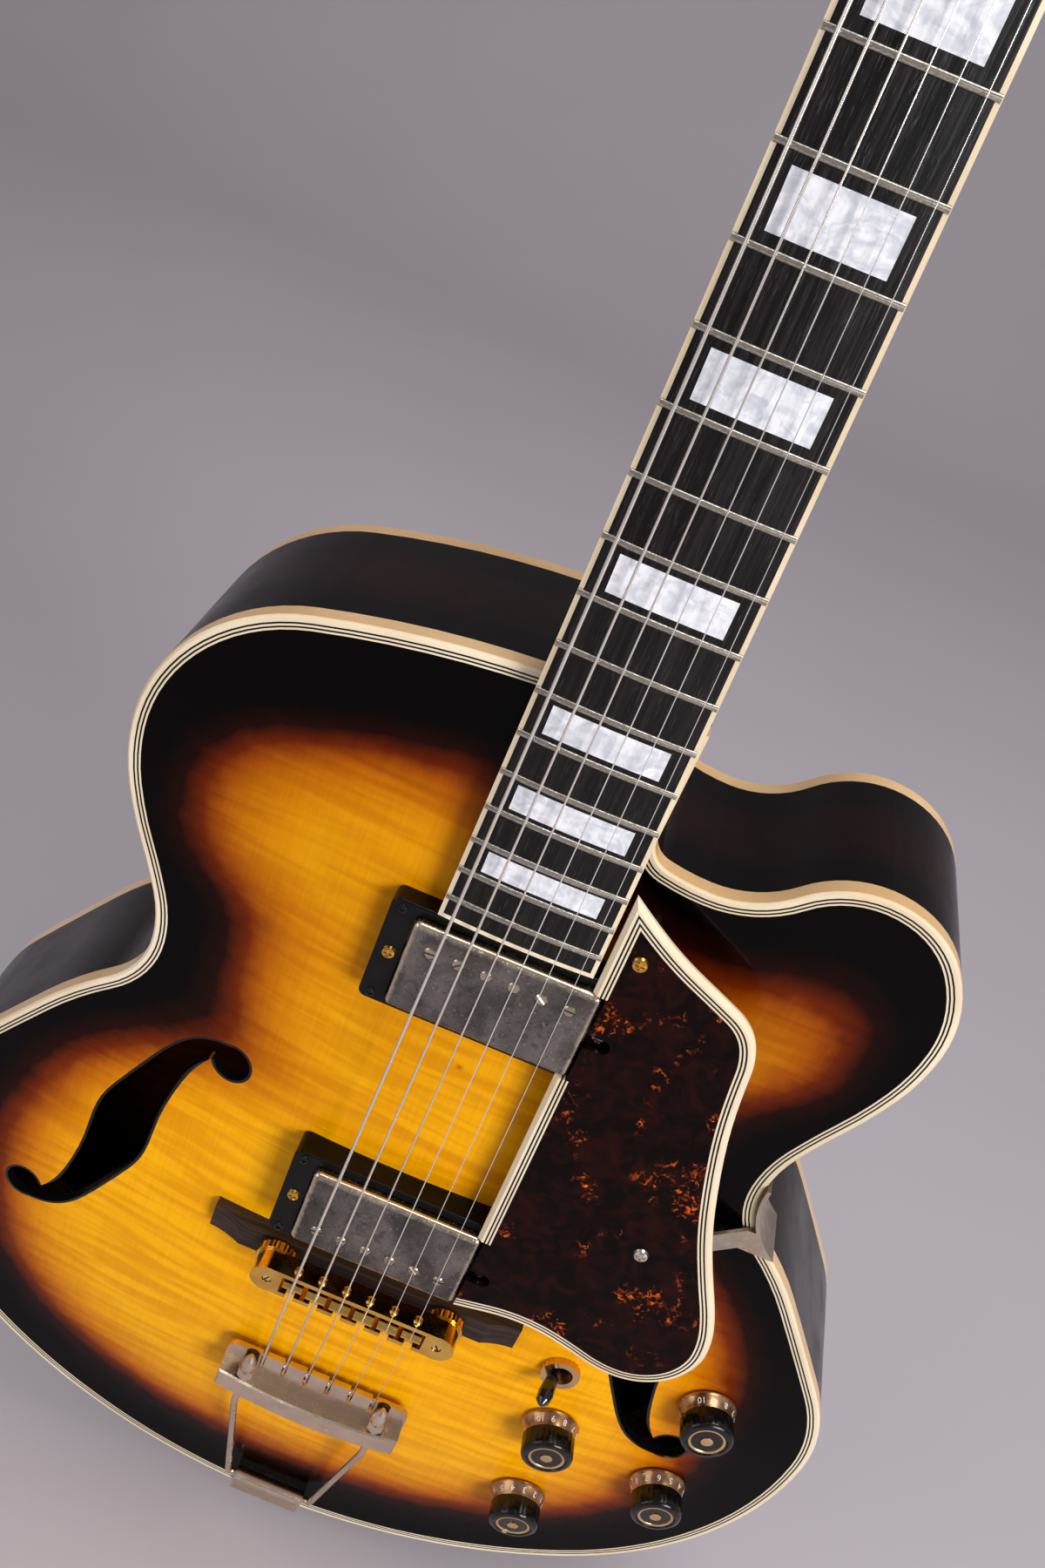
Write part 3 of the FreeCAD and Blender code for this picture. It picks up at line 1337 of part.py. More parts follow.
def make_tailpiece_bracket():
    """A plate over the tail edge with a rolled barrel for the arms' hooks."""
    half = barrel_half
    seat = front_y - glue
    plate = block(-half, half, seat - bracket_sheet, seat, -glue - bracket_sheet, hinge_z)
    down = block(-half, half, seat - bracket_sheet, seat + bracket_down, -glue - bracket_sheet, -glue)
    barrel = Part.makeCylinder(barrel_radius, 2 * half, V(-half, hinge_y, hinge_z), X_AXIS)
    web = block(-half, half, hinge_y, seat, hinge_z - barrel_radius,
                hinge_z - barrel_radius + 2 * bracket_sheet)
    bore = Part.makeCylinder(wire_radius + fit, 3 * half, V(-1.5 * half, hinge_y, hinge_z), X_AXIS)
    pin_hole = Part.makeCylinder(button_neck, 8, V(0, 0, 2), V(0, 0, -1))
    over = clear_of_top(plate.fuse([barrel, web]), glue)
    return over.fuse(down).cut([bore, pin_hole]).removeSplitter()


# Controls

def fluted_grip(low, high):
    """The ribbed cylinder of a knob along its own Z axis."""
    points = []
    for i in range(2 * grip_ribs):
        reach = grip_radius if i % 2 == 0 else grip_radius * 0.93
        angle = math.pi * i / grip_ribs
        points.append(V(reach * math.cos(angle), reach * math.sin(angle), low))
    return Part.Face(Part.makePolygon(points + points[:1])).extrude(Z_AXIS * (high - low))


def make_controls():
    pots = []
    for name, (x, z) in zip(knob_names, knob_places):
        place = on_top(x, z, knob_gap)
        knob_top = skirt_tall + grip_tall
        skirt = turned([(0, 0), (skirt_radius, 0), (skirt_radius, 1.2), (grip_radius + 0.3, skirt_tall),
                        (0, skirt_tall)],
                       V(0, 0, 0), Z_AXIS)
        cap = turned([(0, knob_top - 1), (knob_cap_radius, knob_top - 1), (knob_cap_radius, knob_top + 0.3),
                      (knob_cap_radius * 0.6, knob_top + 0.8), (0, knob_top + 0.8)], V(0, 0, 0), Z_AXIS)
        low = -knob_gap - plate_thick - pot_tall
        shaft = Part.makeCylinder(pot_shaft, skirt_tall + 2 - low - 3, V(0, 0, low + 3), Z_AXIS)
        under = Part.makeCylinder(pot_bushing + 2.5, 2.2, V(0, 0, -0.1), Z_AXIS)
        knob = skirt.fuse([fluted_grip(skirt_tall - 0.5, knob_top), cap]).cut(under).fuse(shaft)
        parts[name] = placed(knob, place)
        case = Part.makeCylinder(pot_radius, pot_tall, V(0, 0, low - 1.6), Z_AXIS)
        bushing = Part.makeCylinder(pot_bushing, plate_thick + knob_gap + 2.6, V(0, 0, low - 1.6 + pot_tall),
                                    Z_AXIS)
        bore = Part.makeCylinder(pot_shaft + fit, 60, V(0, 0, low + 2.8), Z_AXIS)
        pots.append(placed(case.fuse(bushing).cut(bore), place))
    parts["control_pots"] = Part.Compound(pots)


def make_switch():
    place = on_top(*switch_place, 0)
    pivot = -6.0
    ring = knurled(switch_nut_radius, 24, 0, switch_nut_tall, 0, 0)
    ring.rotate(V(0, 0, 0), X_AXIS, 90)
    ring.translate(V(0, 0, glue))
    body_low = -plate_thick - 22
    case = block(-9, 9, -7, 7, body_low, -plate_thick - 2.5)
    bushing = Part.makeCylinder(switch_nut_radius - 2, 2 * plate_thick, V(0, 0, -2 * plate_thick), Z_AXIS)
    throat = Part.makeCone(2.4, 5.7, 12.0, V(0, 0, pivot - 2), Z_AXIS)
    well = Part.makeCylinder(4.2, 8.4, V(0, 0, pivot - 4.2), Z_AXIS)
    body = case.fuse([bushing, ring]).cut([throat, well])
    lean = math.radians(lever_lean)
    axis = V(0, -math.sin(lean), math.cos(lean))
    stick = [(0, 0), (lever_radius, 0), (lever_radius, lever_long * 0.42),
             (lever_tip * 0.8, lever_long * 0.48),
             (lever_tip, lever_long * 0.85), (lever_tip * 0.85, lever_long * 1.02),
             (lever_tip * 0.4, lever_long * 1.1),
             (0, lever_long * 1.12)]
    lever = turned(stick, V(0, 0, pivot), axis)
    lever = lever.fuse(turned([(0, -3), (1.8, -2.4), (3, 0), (1.8, 2.4), (0, 3)], V(0, 0, pivot), axis))
    spin = switch_spin(place)
    parts["selector_switch"] = placed(body, place.multiply(spin))
    parts["switch_lever"] = placed(lever, place.multiply(spin))


def switch_spin(place):
    """Turn about the switch's axis that points the lever's lean from the tail towards the bass side."""
    up = place.Rotation.inverted().multVec(Z_AXIS)
    turn = math.degrees(math.atan2(up.y, up.x)) - 90 - switch_heading
    return FreeCAD.Placement(V(0, 0, 0), FreeCAD.Rotation(Z_AXIS, turn))


def make_output_jack():
    spot, out = rim_frame(jack_z)
    inner = rib_thick + 4 * glue
    body = turned([(0, -jack_long - inner), (jack_nut_radius - 1.5, -jack_long - inner),
                   (jack_nut_radius - 1.5, -inner),
                   (jack_nut_radius - 2 - fit, -inner), (jack_nut_radius - 2 - fit, glue),
                   (jack_nut_radius + 2, glue),
                   (jack_nut_radius + 2, 1.2), (jack_nut_radius - 2, 1.6), (jack_nut_radius - 2, 4), (0, 4)],
                   spot, out)
    bore = Part.makeCylinder(jack_bore, 4 + jack_long, spot + out * (4 - jack_long), out)
    bore = bore.fuse(Part.makeCylinder(jack_bore, 2, spot + out * 3, out))
    return body.cut(bore)


def strap_button(base, axis):
    return turned([(0, -12), (2, -12), (2, 0), (button_neck + 2, 0), (button_neck, 2.2),
                   (button_neck, button_tall - 4),
                   (button_head, button_tall - 2.4), (button_head - 0.6, button_tall), (0, button_tall)],
                   base, axis)


def make_strap_buttons():
    tail = strap_button(V(0, 0, -bracket_sheet - 2 * glue), V(0, 0, -1))
    heel = strap_button(V(0, back_y - 1 + glue, shoulder_z + heel_tip_long * 0.45), Y_AXIS)
    return Part.Compound([tail, heel])


parts["top_plate"] = make_top_plate()
parts["back_plate"] = make_back_plate()
parts["ribs"] = make_ribs()
parts["inner_frame"] = make_inner_frame()
parts["body_binding"] = make_body_binding()
parts["black_purfling"] = make_black_purfling()
parts["neck"] = make_neck()
make_fretted_board()
parts["nut"] = make_nut()
parts["truss_rod"] = make_truss_rod()
parts["truss_rod_cover"] = make_truss_rod_cover()
make_tuners()
parts["strings"] = make_strings()
black_screws, gold_screws = make_pickups()
guard_screws, guard_black, guard_upper, guard_lower = make_pickguard()
parts["pickguard_bracket"] = make_bracket(guard_upper, guard_lower)
parts["black_purfling"] = Part.Compound(parts["black_purfling"].Solids + guard_black)
parts["black_screws"] = Part.Compound(black_screws)
parts["gold_screws"] = Part.Compound(gold_screws + guard_screws)
parts["bridge_base"] = make_bridge_base()
make_bridge()
parts["tailpiece_bar"] = make_tailpiece_bar()
parts["tailpiece_bracket"] = make_tailpiece_bracket()
make_controls()
make_switch()
parts["output_jack"] = make_output_jack()
parts["strap_buttons"] = make_strap_buttons()

os.makedirs("parts", exist_ok=True)
for name, shape in parts.items():
    shape.exportStep("parts/%s.step" % name)
    print(name, len(shape.Solids), "solids", "valid" if shape.isValid() else "NOT VALID",
          round(shape.Volume))
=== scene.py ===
import json
import math

import bpy
from mathutils import Matrix, Vector

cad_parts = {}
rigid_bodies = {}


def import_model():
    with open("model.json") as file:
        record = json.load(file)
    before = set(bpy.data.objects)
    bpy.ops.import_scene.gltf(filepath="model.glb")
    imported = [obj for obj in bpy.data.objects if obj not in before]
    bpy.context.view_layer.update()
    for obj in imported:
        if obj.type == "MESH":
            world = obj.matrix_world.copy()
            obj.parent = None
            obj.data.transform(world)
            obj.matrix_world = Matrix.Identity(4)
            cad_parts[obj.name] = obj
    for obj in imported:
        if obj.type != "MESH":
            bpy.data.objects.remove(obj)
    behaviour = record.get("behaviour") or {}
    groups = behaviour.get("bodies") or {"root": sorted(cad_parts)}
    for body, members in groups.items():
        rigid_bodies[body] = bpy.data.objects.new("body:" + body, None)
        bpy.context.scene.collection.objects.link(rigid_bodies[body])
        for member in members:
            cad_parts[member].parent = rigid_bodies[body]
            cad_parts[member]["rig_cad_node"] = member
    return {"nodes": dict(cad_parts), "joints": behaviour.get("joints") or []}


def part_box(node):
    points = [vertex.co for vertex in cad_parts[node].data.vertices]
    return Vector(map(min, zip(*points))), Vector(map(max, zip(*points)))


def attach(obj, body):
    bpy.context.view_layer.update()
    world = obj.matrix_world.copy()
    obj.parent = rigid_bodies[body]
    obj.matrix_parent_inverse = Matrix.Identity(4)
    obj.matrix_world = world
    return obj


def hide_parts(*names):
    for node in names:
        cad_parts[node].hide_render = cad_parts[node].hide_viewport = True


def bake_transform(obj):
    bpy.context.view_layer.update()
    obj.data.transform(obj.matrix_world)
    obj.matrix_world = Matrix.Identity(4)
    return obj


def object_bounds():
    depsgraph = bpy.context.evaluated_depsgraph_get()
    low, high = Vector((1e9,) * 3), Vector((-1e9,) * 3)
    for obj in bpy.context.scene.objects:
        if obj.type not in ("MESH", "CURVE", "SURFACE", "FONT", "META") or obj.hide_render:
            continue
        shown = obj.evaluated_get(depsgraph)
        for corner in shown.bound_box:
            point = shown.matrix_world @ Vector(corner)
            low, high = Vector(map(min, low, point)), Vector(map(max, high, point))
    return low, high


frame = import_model()
cad_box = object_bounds()


# Photographer's corner: a pale paper sweep that is floor and wall in one, three soft lamps, the
# strongest at the front right, so that shadows fall to the upper left, and a camera above the lower
# bout that looks down along the body.
floor_gap = 0.0005
floor_wide = 16.0
floor_long = 11.0
wall_distance = 3.0
wall_high = 4.0
corner_radius = 1.2
floor_middle = (0, wall_distance - floor_long / 2, cad_box[0].z - floor_gap)
bpy.ops.object.select_all(action="DESELECT")
bpy.ops.mesh.primitive_plane_add(size=1, location=floor_middle)
sweep = bpy.context.object
sweep.name = "paper_sweep"
sweep.scale = (floor_wide, floor_long, 1.0)
bpy.ops.object.transform_apply(location=True, rotation=True, scale=True)
bpy.ops.object.mode_set(mode="EDIT")
bpy.ops.mesh.select_all(action="DESELECT")
bpy.ops.object.mode_set(mode="OBJECT")
for edge in sweep.data.edges:
    edge.select = all(sweep.data.vertices[corner].co.y > 0 for corner in edge.vertices)
bpy.ops.object.mode_set(mode="EDIT")
bpy.ops.mesh.extrude_edges_move(TRANSFORM_OT_translate={"value": (0, 0, wall_high)})
bpy.ops.object.mode_set(mode="OBJECT")
curve = sweep.modifiers.new("corner", "BEVEL")
curve.width = corner_radius
curve.segments = 16
curve.angle_limit = math.radians(60)
bpy.ops.object.modifier_apply(modifier=curve.name)
bpy.ops.object.shade_smooth_by_angle(angle=math.radians(40))


def srgb(red, green, blue):
    """A colour given in 8-bit steps, as the linear colour that a shader takes."""
    shares = [step / 255 for step in (red, green, blue)]
    return tuple(s / 12.92 if s <= 0.04045 else ((s + 0.055) / 1.055) ** 2.4 for s in shares) + (1.0,)


class Shade:
    """One output of a shader node. Arithmetic on it adds the nodes that work the result out."""

    def __init__(self, socket):
        self.socket = socket

    def node(self, kind, settings=None, inputs=None, output=0):
        """Adds a node, sets it up, feeds its sockets and gives one of its outputs."""
        tree = self.socket.id_data
        made = tree.nodes.new("ShaderNode" + kind)
        for name, value in (settings or {}).items():
            if name == "stops":
                (first_place, first), *middle, (last_place, last) = value
                ends = made.color_ramp.elements
                ends[0].position, ends[0].color = first_place, first
                ends[1].position, ends[1].color = last_place, last
                for place, colour in middle:
                    ends.new(place).color = colour
            else:
                setattr(made, name, value)
        for name, value in (inputs or {}).items():
            if isinstance(value, Shade):
                tree.links.new(value.socket, made.inputs[name])
            else:
                made.inputs[name].default_value = value
        return Shade(made.outputs[output])

    def maths(self, operation, *others):
        return self.node("Math", {"operation": operation}, dict(enumerate((self, *others))))

    def __add__(self, other):
        return self.maths("ADD", other)

    __radd__ = __add__

    def __sub__(self, other):
        return self.maths("SUBTRACT", other)

    def __rsub__(self, other):
        return self * -1.0 + other

    def __mul__(self, other):
        return self.maths("MULTIPLY", other)

    __rmul__ = __mul__

    def __truediv__(self, other):
        return self.maths("DIVIDE", other)

    def __pow__(self, other):
        return self.maths("POWER", other)

    def axis(self, letter):
        """The x, y or z of a place."""
        return self.node("SeparateXYZ", {}, {"Vector": self}, letter)

    def rise(self, low, high, bottom=0.0, top=1.0):
        """Goes smoothly from bottom to top as this value goes from low to high."""
        settings = {"interpolation_type": "SMOOTHSTEP"}
        limits = {"Value": self, "From Min": low, "From Max": high, "To Min": bottom, "To Max": top}
        return self.node("MapRange", settings, limits)

    def cloud(self, size, detail=3.0, distortion=0.0):
        """A cloudy pattern from 0 to 1 with patches of that size, or of those sizes along x, y and z."""
        lengths = size if isinstance(size, tuple) else (size, size, size)
        scale = tuple(1 / length for length in lengths)
        spread = self.node("Mapping", {}, {"Vector": self, "Scale": scale})
        inputs = {"Vector": spread, "Scale": 1.0, "Detail": detail, "Distortion": distortion}
        return self.node("TexNoise", {}, inputs)

    def between(self, low, high):
        """The colour low where this value is 0, high where it is 1."""
        return self.node("Mix", {"data_type": "RGBA"}, {0: self, 6: low, 7: high}, 2)

    def ramp(self, *stops):
        """A colour read from stops of place and colour along this value."""
        return self.node("ValToRGB", {"stops": stops}, {"Fac": self})

    def times(self, colour):
        """This colour with each part multiplied by that of another."""
        return self.node("VectorMath", {"operation": "MULTIPLY"}, {0: self, 1: colour})

    def bump(self, shader, distance, strength=1.0):
        """Raises the surface of a shader where this value is high."""
        inputs = {"Height": self, "Distance": distance, "Strength": strength}
        self.node("Bump", {}, inputs).feed(shader, "Normal")

    def feed(self, shader, name):
        self.socket.id_data.links.new(self.socket, shader.inputs[name])


def finish(name, **constants):
    """A new material, its shader with what is the same all over set on it, and the place on a piece."""
    material = bpy.data.materials.new(name)
    material.use_nodes = True
    shader = material.node_tree.nodes["Principled BSDF"]
    for socket, value in constants.items():
        shader.inputs[socket.replace("_", " ")].default_value = value
    place = material.node_tree.nodes.new("ShaderNodeTexCoord")
    return material, shader, Shade(place.outputs["Object"])


paper, shader, place = finish("pale_paper", Roughness=0.9)
place.cloud(0.4).between(srgb(182, 174, 180), srgb(190, 183, 188)).feed(shader, "Base Color")
place.cloud(0.002).bump(shader, 0.0002, 0.2)
sweep.data.materials.append(paper)

room_strength = 0.55
world = bpy.data.worlds.new("soft_room")
bpy.context.scene.world = world
world.use_nodes = True
room = world.node_tree.nodes["Background"]
room.inputs["Color"].default_value = srgb(196, 194, 200)
room.inputs["Strength"].default_value = room_strength

lamp_aim = Vector((0, -0.04, 0.25))
lamps = {
    "front_right_lamp": ((1.30, -1.70, 1.15), 0.9, 44.0),
    "left_fill_lamp": ((-1.6, -0.9, 1.0), 1.4, 9.0),
    "neck_side_lamp": ((0.3, 0.1, 2.3), 1.0, 16.0),
}
for name, (spot, size, watts) in lamps.items():
    bpy.ops.object.light_add(type="AREA", location=spot)
    lamp = bpy.context.object
    lamp.name = name
    lamp.data.size = size
    lamp.data.energy = watts
    lamp.rotation_euler = (lamp_aim - Vector(spot)).to_track_quat("-Z", "Y").to_euler()
bpy.context.scene.view_settings.view_transform = "Standard"

lens_spot = Vector((-0.02314, -0.45168, 0.73219))
lens_right = Vector((0.9233, 0.2081, 0.3228))
lens_up = Vector((-0.3840, 0.5178, 0.7644))
focal_length = 34.48
film_side = 36.0
bpy.ops.object.camera_add()
camera = bpy.context.object
camera.name = "photo_camera"
camera.data.lens = focal_length
camera.data.sensor_width = film_side
camera.data.clip_start = 0.01
aim = Matrix((lens_right, lens_up, lens_right.cross(lens_up))).transposed()
camera.matrix_world = Matrix.Translation(lens_spot) @ aim.to_4x4()
bpy.context.scene.camera = camera


# Top plate: arched, flamed maple over spruce, sprayed from a clear amber middle through red-brown
# to black at the rim, then built up with gloss lacquer and polished. Towards the neck the amber is
# darkened with painted shade.
def coat_nodes(material, *names):
    """Gives CAD nodes a finish."""
    for name in names:
        frame["nodes"][name].material_slots[0].material = material


def oval(across, along, half_wide, half_long, power=2.0):
    """Distance in metres from an oval's rim, below 0 inside it, at a place off the oval's middle."""
    share = (across / half_wide).maths("ABSOLUTE") ** power
    share = share + (along / half_long).maths("ABSOLUTE") ** power
    share = (share ** (1 / power)).maths("MAXIMUM", 0.05)
    reach = (across * across + along * along).maths("SQRT")
    return reach - reach / share


lower_middle = 0.175
waist_middle = 0.335
upper_middle = 0.400
cutaway_x = 0.062
cutaway_z = 0.490
cutaway_dark = 0.083
burst_blend = 0.045
burst_depth = 0.060
rim_share = 0.64
neck_shade_low = 0.25
neck_shade_high = 0.43

sunburst, shader, place = finish(
    "sunburst_lacquer",
    Coat_Weight=0.05,
    Coat_Roughness=0.03,
    Specular_IOR_Level=0.05,
)
x = place.axis("X")
z = place.axis("Z")
lower_bout = oval(x, z - lower_middle, half_wide=0.160, half_long=0.128, power=2.2)
waist = oval(x, z - waist_middle, half_wide=0.086, half_long=0.075)
upper_bout = oval(x, z - upper_middle, half_wide=0.117, half_long=0.050, power=2.4)
rim = lower_bout.maths("SMOOTH_MIN", waist, burst_blend).maths("SMOOTH_MIN", upper_bout, burst_blend)
beside = x - cutaway_x
beyond = z - cutaway_z
from_cutaway = (beside * beside + beyond * beyond).maths("SQRT")
spray = place.cloud(0.006) * 0.004 + place.cloud(0.05) * 0.008 - 0.006
rim = rim.maths("SMOOTH_MAX", cutaway_dark - from_cutaway, burst_blend) + spray
amber = (rim / burst_depth + rim_share).ramp(
    (0.0, srgb(250, 178, 8)),
    (0.25, srgb(238, 160, 5)),
    (0.42, srgb(219, 137, 4)),
    (0.57, srgb(184, 98, 4)),
    (0.70, srgb(116, 42, 4)),
    (0.84, srgb(34, 8, 3)),
    (1.0, srgb(3, 2, 2)),
)
# Painted shade: the amber is darkened towards the neck, where the light falls off.
amber = z.rise(neck_shade_low, neck_shade_high).between(amber, amber.times((0.74, 0.64, 0.40)))
wave = place.cloud((0.10, 0.10, 0.035), 1.0) * 0.016
lean = place.node("CombineXYZ", {}, {"X": x, "Z": z + wave + x * 0.04})
flame = lean.cloud((0.060, 1.0, 0.0058), 2.0, 0.3).rise(0.36, 0.62)
fine = place.cloud((0.0012, 0.01, 0.030), 2.0).rise(0.3, 0.7)
figured = flame.between(amber.times((0.83, 0.73, 0.50)), amber)
fine.between(figured.times((0.93, 0.92, 0.9)), figured).feed(shader, "Base Color")
place.cloud(0.02, 5.0).rise(0.3, 0.8, 0.22, 0.34).feed(shader, "Roughness")
place.cloud(0.012, 2.0).bump(shader, 0.0004, 0.12)
coat_nodes(sunburst, "top_plate")


# Back and ribs: figured maple bent and arched, stained nearly black at the edges with a red-brown
# glow in the middle of the ribs and of the back, under the same gloss lacquer.
rib_half = 0.024
rib_end = 0.030
back_start = 0.034
back_upper_middle = 0.392
glow_blend = 0.06

dark_maple, shader, place = finish(
    "dark_maple_lacquer",
    Coat_Weight=0.12,
    Coat_Roughness=0.04,
    Specular_IOR_Level=0.12,
)
x = place.axis("X")
y = place.axis("Y")
z = place.axis("Z")
on_back = y.rise(rib_end, back_start)
on_ribs = y.rise(rib_end, back_start, 1.0, 0.0)
rib_glow = (y / rib_half).maths("ABSOLUTE").rise(0.25, 1.0, 1.0, 0.0) * on_ribs
lower_glow = oval(x, z - lower_middle, half_wide=0.165, half_long=0.130, power=2.2)
upper_glow = oval(x, z - back_upper_middle, half_wide=0.115, half_long=0.062, power=2.6)
back_glow = lower_glow.maths("SMOOTH_MIN", upper_glow, glow_blend).rise(-0.05, 0.012, 1.0, 0.0) * on_back
stain = (rib_glow * 0.12 + back_glow).ramp(
    (0.0, srgb(9, 6, 6)),
    (0.35, srgb(46, 19, 9)),
    (0.7, srgb(104, 48, 14)),
    (1.0, srgb(140, 72, 20)),
)
wave = place.cloud((0.08, 0.08, 0.03), 1.0) * 0.03
curl = place.node("CombineXYZ", {}, {"X": x, "Y": y, "Z": z + wave})
curl = curl.cloud((0.06, 0.3, 0.006), 2.0).rise(0.35, 0.65)
curl.between(stain.times((0.75, 0.68, 0.6)), stain).feed(shader, "Base Color")
place.cloud(0.02, 5.0).rise(0.3, 0.8, 0.2, 0.34).feed(shader, "Roughness")
place.cloud(0.015, 2.0).bump(shader, 0.0004, 0.12)
coat_nodes(dark_maple, "back_plate", "ribs")


# Linings, blocks and tone bars: bare spruce inside the box, with straight grain along the body,
# glued behind the ribs and plates and never varnished.
spruce, shader, place = finish("bare_spruce", Roughness=0.75)
rings = place.cloud((0.0016, 0.0016, 0.15), 2.0).rise(0.3, 0.7)
rings.between(srgb(176, 138, 92), srgb(214, 182, 134)).feed(shader, "Base Color")
rings.bump(shader, 0.0002, 0.4)
coat_nodes(spruce, "inner_frame")


# Binding: cream plastic strips glued round the body, the fingerboard and the pickguard and scraped
# flush. On the sides of the body they are a darker tan than on their face: painted shade.
def cream_plastic(name):
    """Cream plastic with its gloss on: the material, its shader, the place and how pale it is there."""
    material, shader, place = finish(name, Coat_Weight=0.4, Coat_Roughness=0.08)
    place.cloud(0.01, 4.0).rise(0.3, 0.8, 0.26, 0.42).feed(shader, "Roughness")
    return material, shader, place, place.cloud(0.06, 4.0).rise(0.3, 0.72)


cream, shader, place, pale = cream_plastic("aged_cream_binding")
streak = place.cloud((0.004, 0.004, 0.02)).rise(0.35, 0.7)
aged = pale.between(srgb(220, 199, 163), srgb(239, 224, 194))
streak.between(aged.times((0.97, 0.96, 0.94)), aged).feed(shader, "Base Color")
streak.bump(shader, 0.0001, 0.1)
coat_nodes(cream, "fingerboard_binding", "pickguard_binding")

face_edge = 0.0003
side_edge = 0.0012
rim_cream, shader, place, pale = cream_plastic("tan_sided_binding")
low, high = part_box("body_binding")
y = place.axis("Y")
from_face = (y - low.y).maths("MINIMUM", high.y - y)
face = pale.between(srgb(222, 202, 167), srgb(240, 225, 195))
# Painted shade: the side faces of the body binding are a darker tan than its face.
side_shade_tan = pale.between(srgb(221, 177, 121), srgb(241, 201, 146))
from_face.rise(face_edge, side_edge).between(face, side_shade_tan).feed(shader, "Base Color")
coat_nodes(rim_cream, "body_binding")


# Purfling lines and f-hole edging: thin black plastic let in beside the binding and round the
# sound holes, lacquered over.
line_black, shader, place = finish(
    "black_line_plastic",
    Coat_Weight=0.2,
    Coat_Roughness=0.04,
    Specular_IOR_Level=0.2,
)
place.cloud(0.008, 4.0).between(srgb(6, 5, 5), srgb(17, 15, 15)).feed(shader, "Base Color")
place.cloud(0.005).rise(0.3, 0.8, 0.18, 0.34).feed(shader, "Roughness")
coat_nodes(line_black, "black_purfling")


# Neck: hard maple with heel and headstock, stained black-brown and lacquered, its grain running
# along the strings.
neck_stain, shader, place = finish(
    "neck_lacquer",
    Coat_Weight=0.2,
    Coat_Roughness=0.05,
    Specular_IOR_Level=0.2,
)
grain = place.cloud((0.004, 0.004, 0.12), 4.0, 0.4).rise(0.3, 0.72)
grain.between(srgb(12, 7, 6), srgb(40, 20, 12)).feed(shader, "Base Color")
place.cloud((0.03, 0.03, 0.05), 4.0).rise(0.3, 0.8, 0.22, 0.36).feed(shader, "Roughness")
grain.bump(shader, 0.0002, 0.1)
coat_nodes(neck_stain, "neck")


# Truss rod and pots: a drawn steel rod let into the neck under the board, and the pressed steel cases
# of the four controls, which hang under the top.
steel, shader, place = finish("drawn_steel", Metallic=1.0)
draw = place.cloud((0.001, 0.001, 0.03)).rise(0.3, 0.7)
draw.between(srgb(128, 126, 124), srgb(176, 174, 170)).feed(shader, "Base Color")
draw.rise(0.0, 1.0, 0.42, 0.28).feed(shader, "Roughness")
coat_nodes(steel, "truss_rod", "control_pots")


# Fingerboard: oiled ebony glued on the neck, nearly black with fine grey grain and open pores along
# the strings, rubbed smooth but never lacquered.
ebony, shader, place = finish("oiled_ebony", Specular_IOR_Level=0.22)
pores = place.cloud((0.0005, 0.0008, 0.009), 2.0).rise(0.60, 0.72)
grain = place.cloud((0.0016, 0.003, 0.09), 5.0, 0.2).rise(0.35, 0.75)
patch = place.cloud((0.015, 0.015, 0.06))
wood = (grain * 0.7 + patch * 0.3).between(srgb(9, 8, 8), srgb(32, 29, 28))
pores.between(wood, srgb(46, 43, 42)).feed(shader, "Base Color")
grain.rise(0.0, 1.0, 0.34, 0.5).feed(shader, "Roughness")
(grain - pores).bump(shader, 0.0003, 0.25)
coat_nodes(ebony, "fingerboard")


# Block inlays: mother-of-pearl set flush in the board, bluish white and cloudy, with swirls that
# run into each other and a faint colour shift.
pearl, shader, place = finish("cloudy_pearl", Coat_Weight=0.5, Coat_Roughness=0.1)
drift = place.cloud((0.012, 0.012, 0.006), 5.0, 2.2)
bands = place.cloud((0.0035, 0.004, 0.012), 3.0, 1.4)
sheen = place.cloud(0.02, 2.0, 1.0)
milk = (drift * 0.6 + bands * 0.4).rise(0.36, 0.62)
milky = milk.between(srgb(200, 202, 209), srgb(240, 239, 241))
sheen.between(milky.times((1.0, 0.97, 1.0)), milky.times((0.95, 1.0, 1.0))).feed(shader, "Base Color")
bands.rise(0.3, 0.7, 0.16, 0.32).feed(shader, "Roughness")
coat_nodes(pearl, "position_inlays")


# Frets and nut: nickel-silver wire pressed into slots over the binding, crowned and polished, and a
# slotted bone nut glued at the end of the board.
fret_wire, shader, place = finish("fret_nickel", Metallic=1.0)
rub = place.cloud((0.0012, 0.0012, 0.0004), 4.0).rise(0.3, 0.75)
rub.between(srgb(150, 143, 132), srgb(206, 198, 184)).feed(shader, "Base Color")
rub.rise(0.0, 1.0, 0.34, 0.2).feed(shader, "Roughness")
coat_nodes(fret_wire, "frets")

bone, shader, place = finish("bleached_bone", Coat_Weight=0.2)
fibre = place.cloud((0.008, 0.001, 0.001), 4.0).rise(0.3, 0.7)
fibre.between(srgb(214, 202, 172), srgb(238, 230, 206)).feed(shader, "Base Color")
fibre.rise(0.0, 1.0, 0.42, 0.3).feed(shader, "Roughness")
fibre.bump(shader, 0.0001, 0.2)
coat_nodes(bone, "nut")


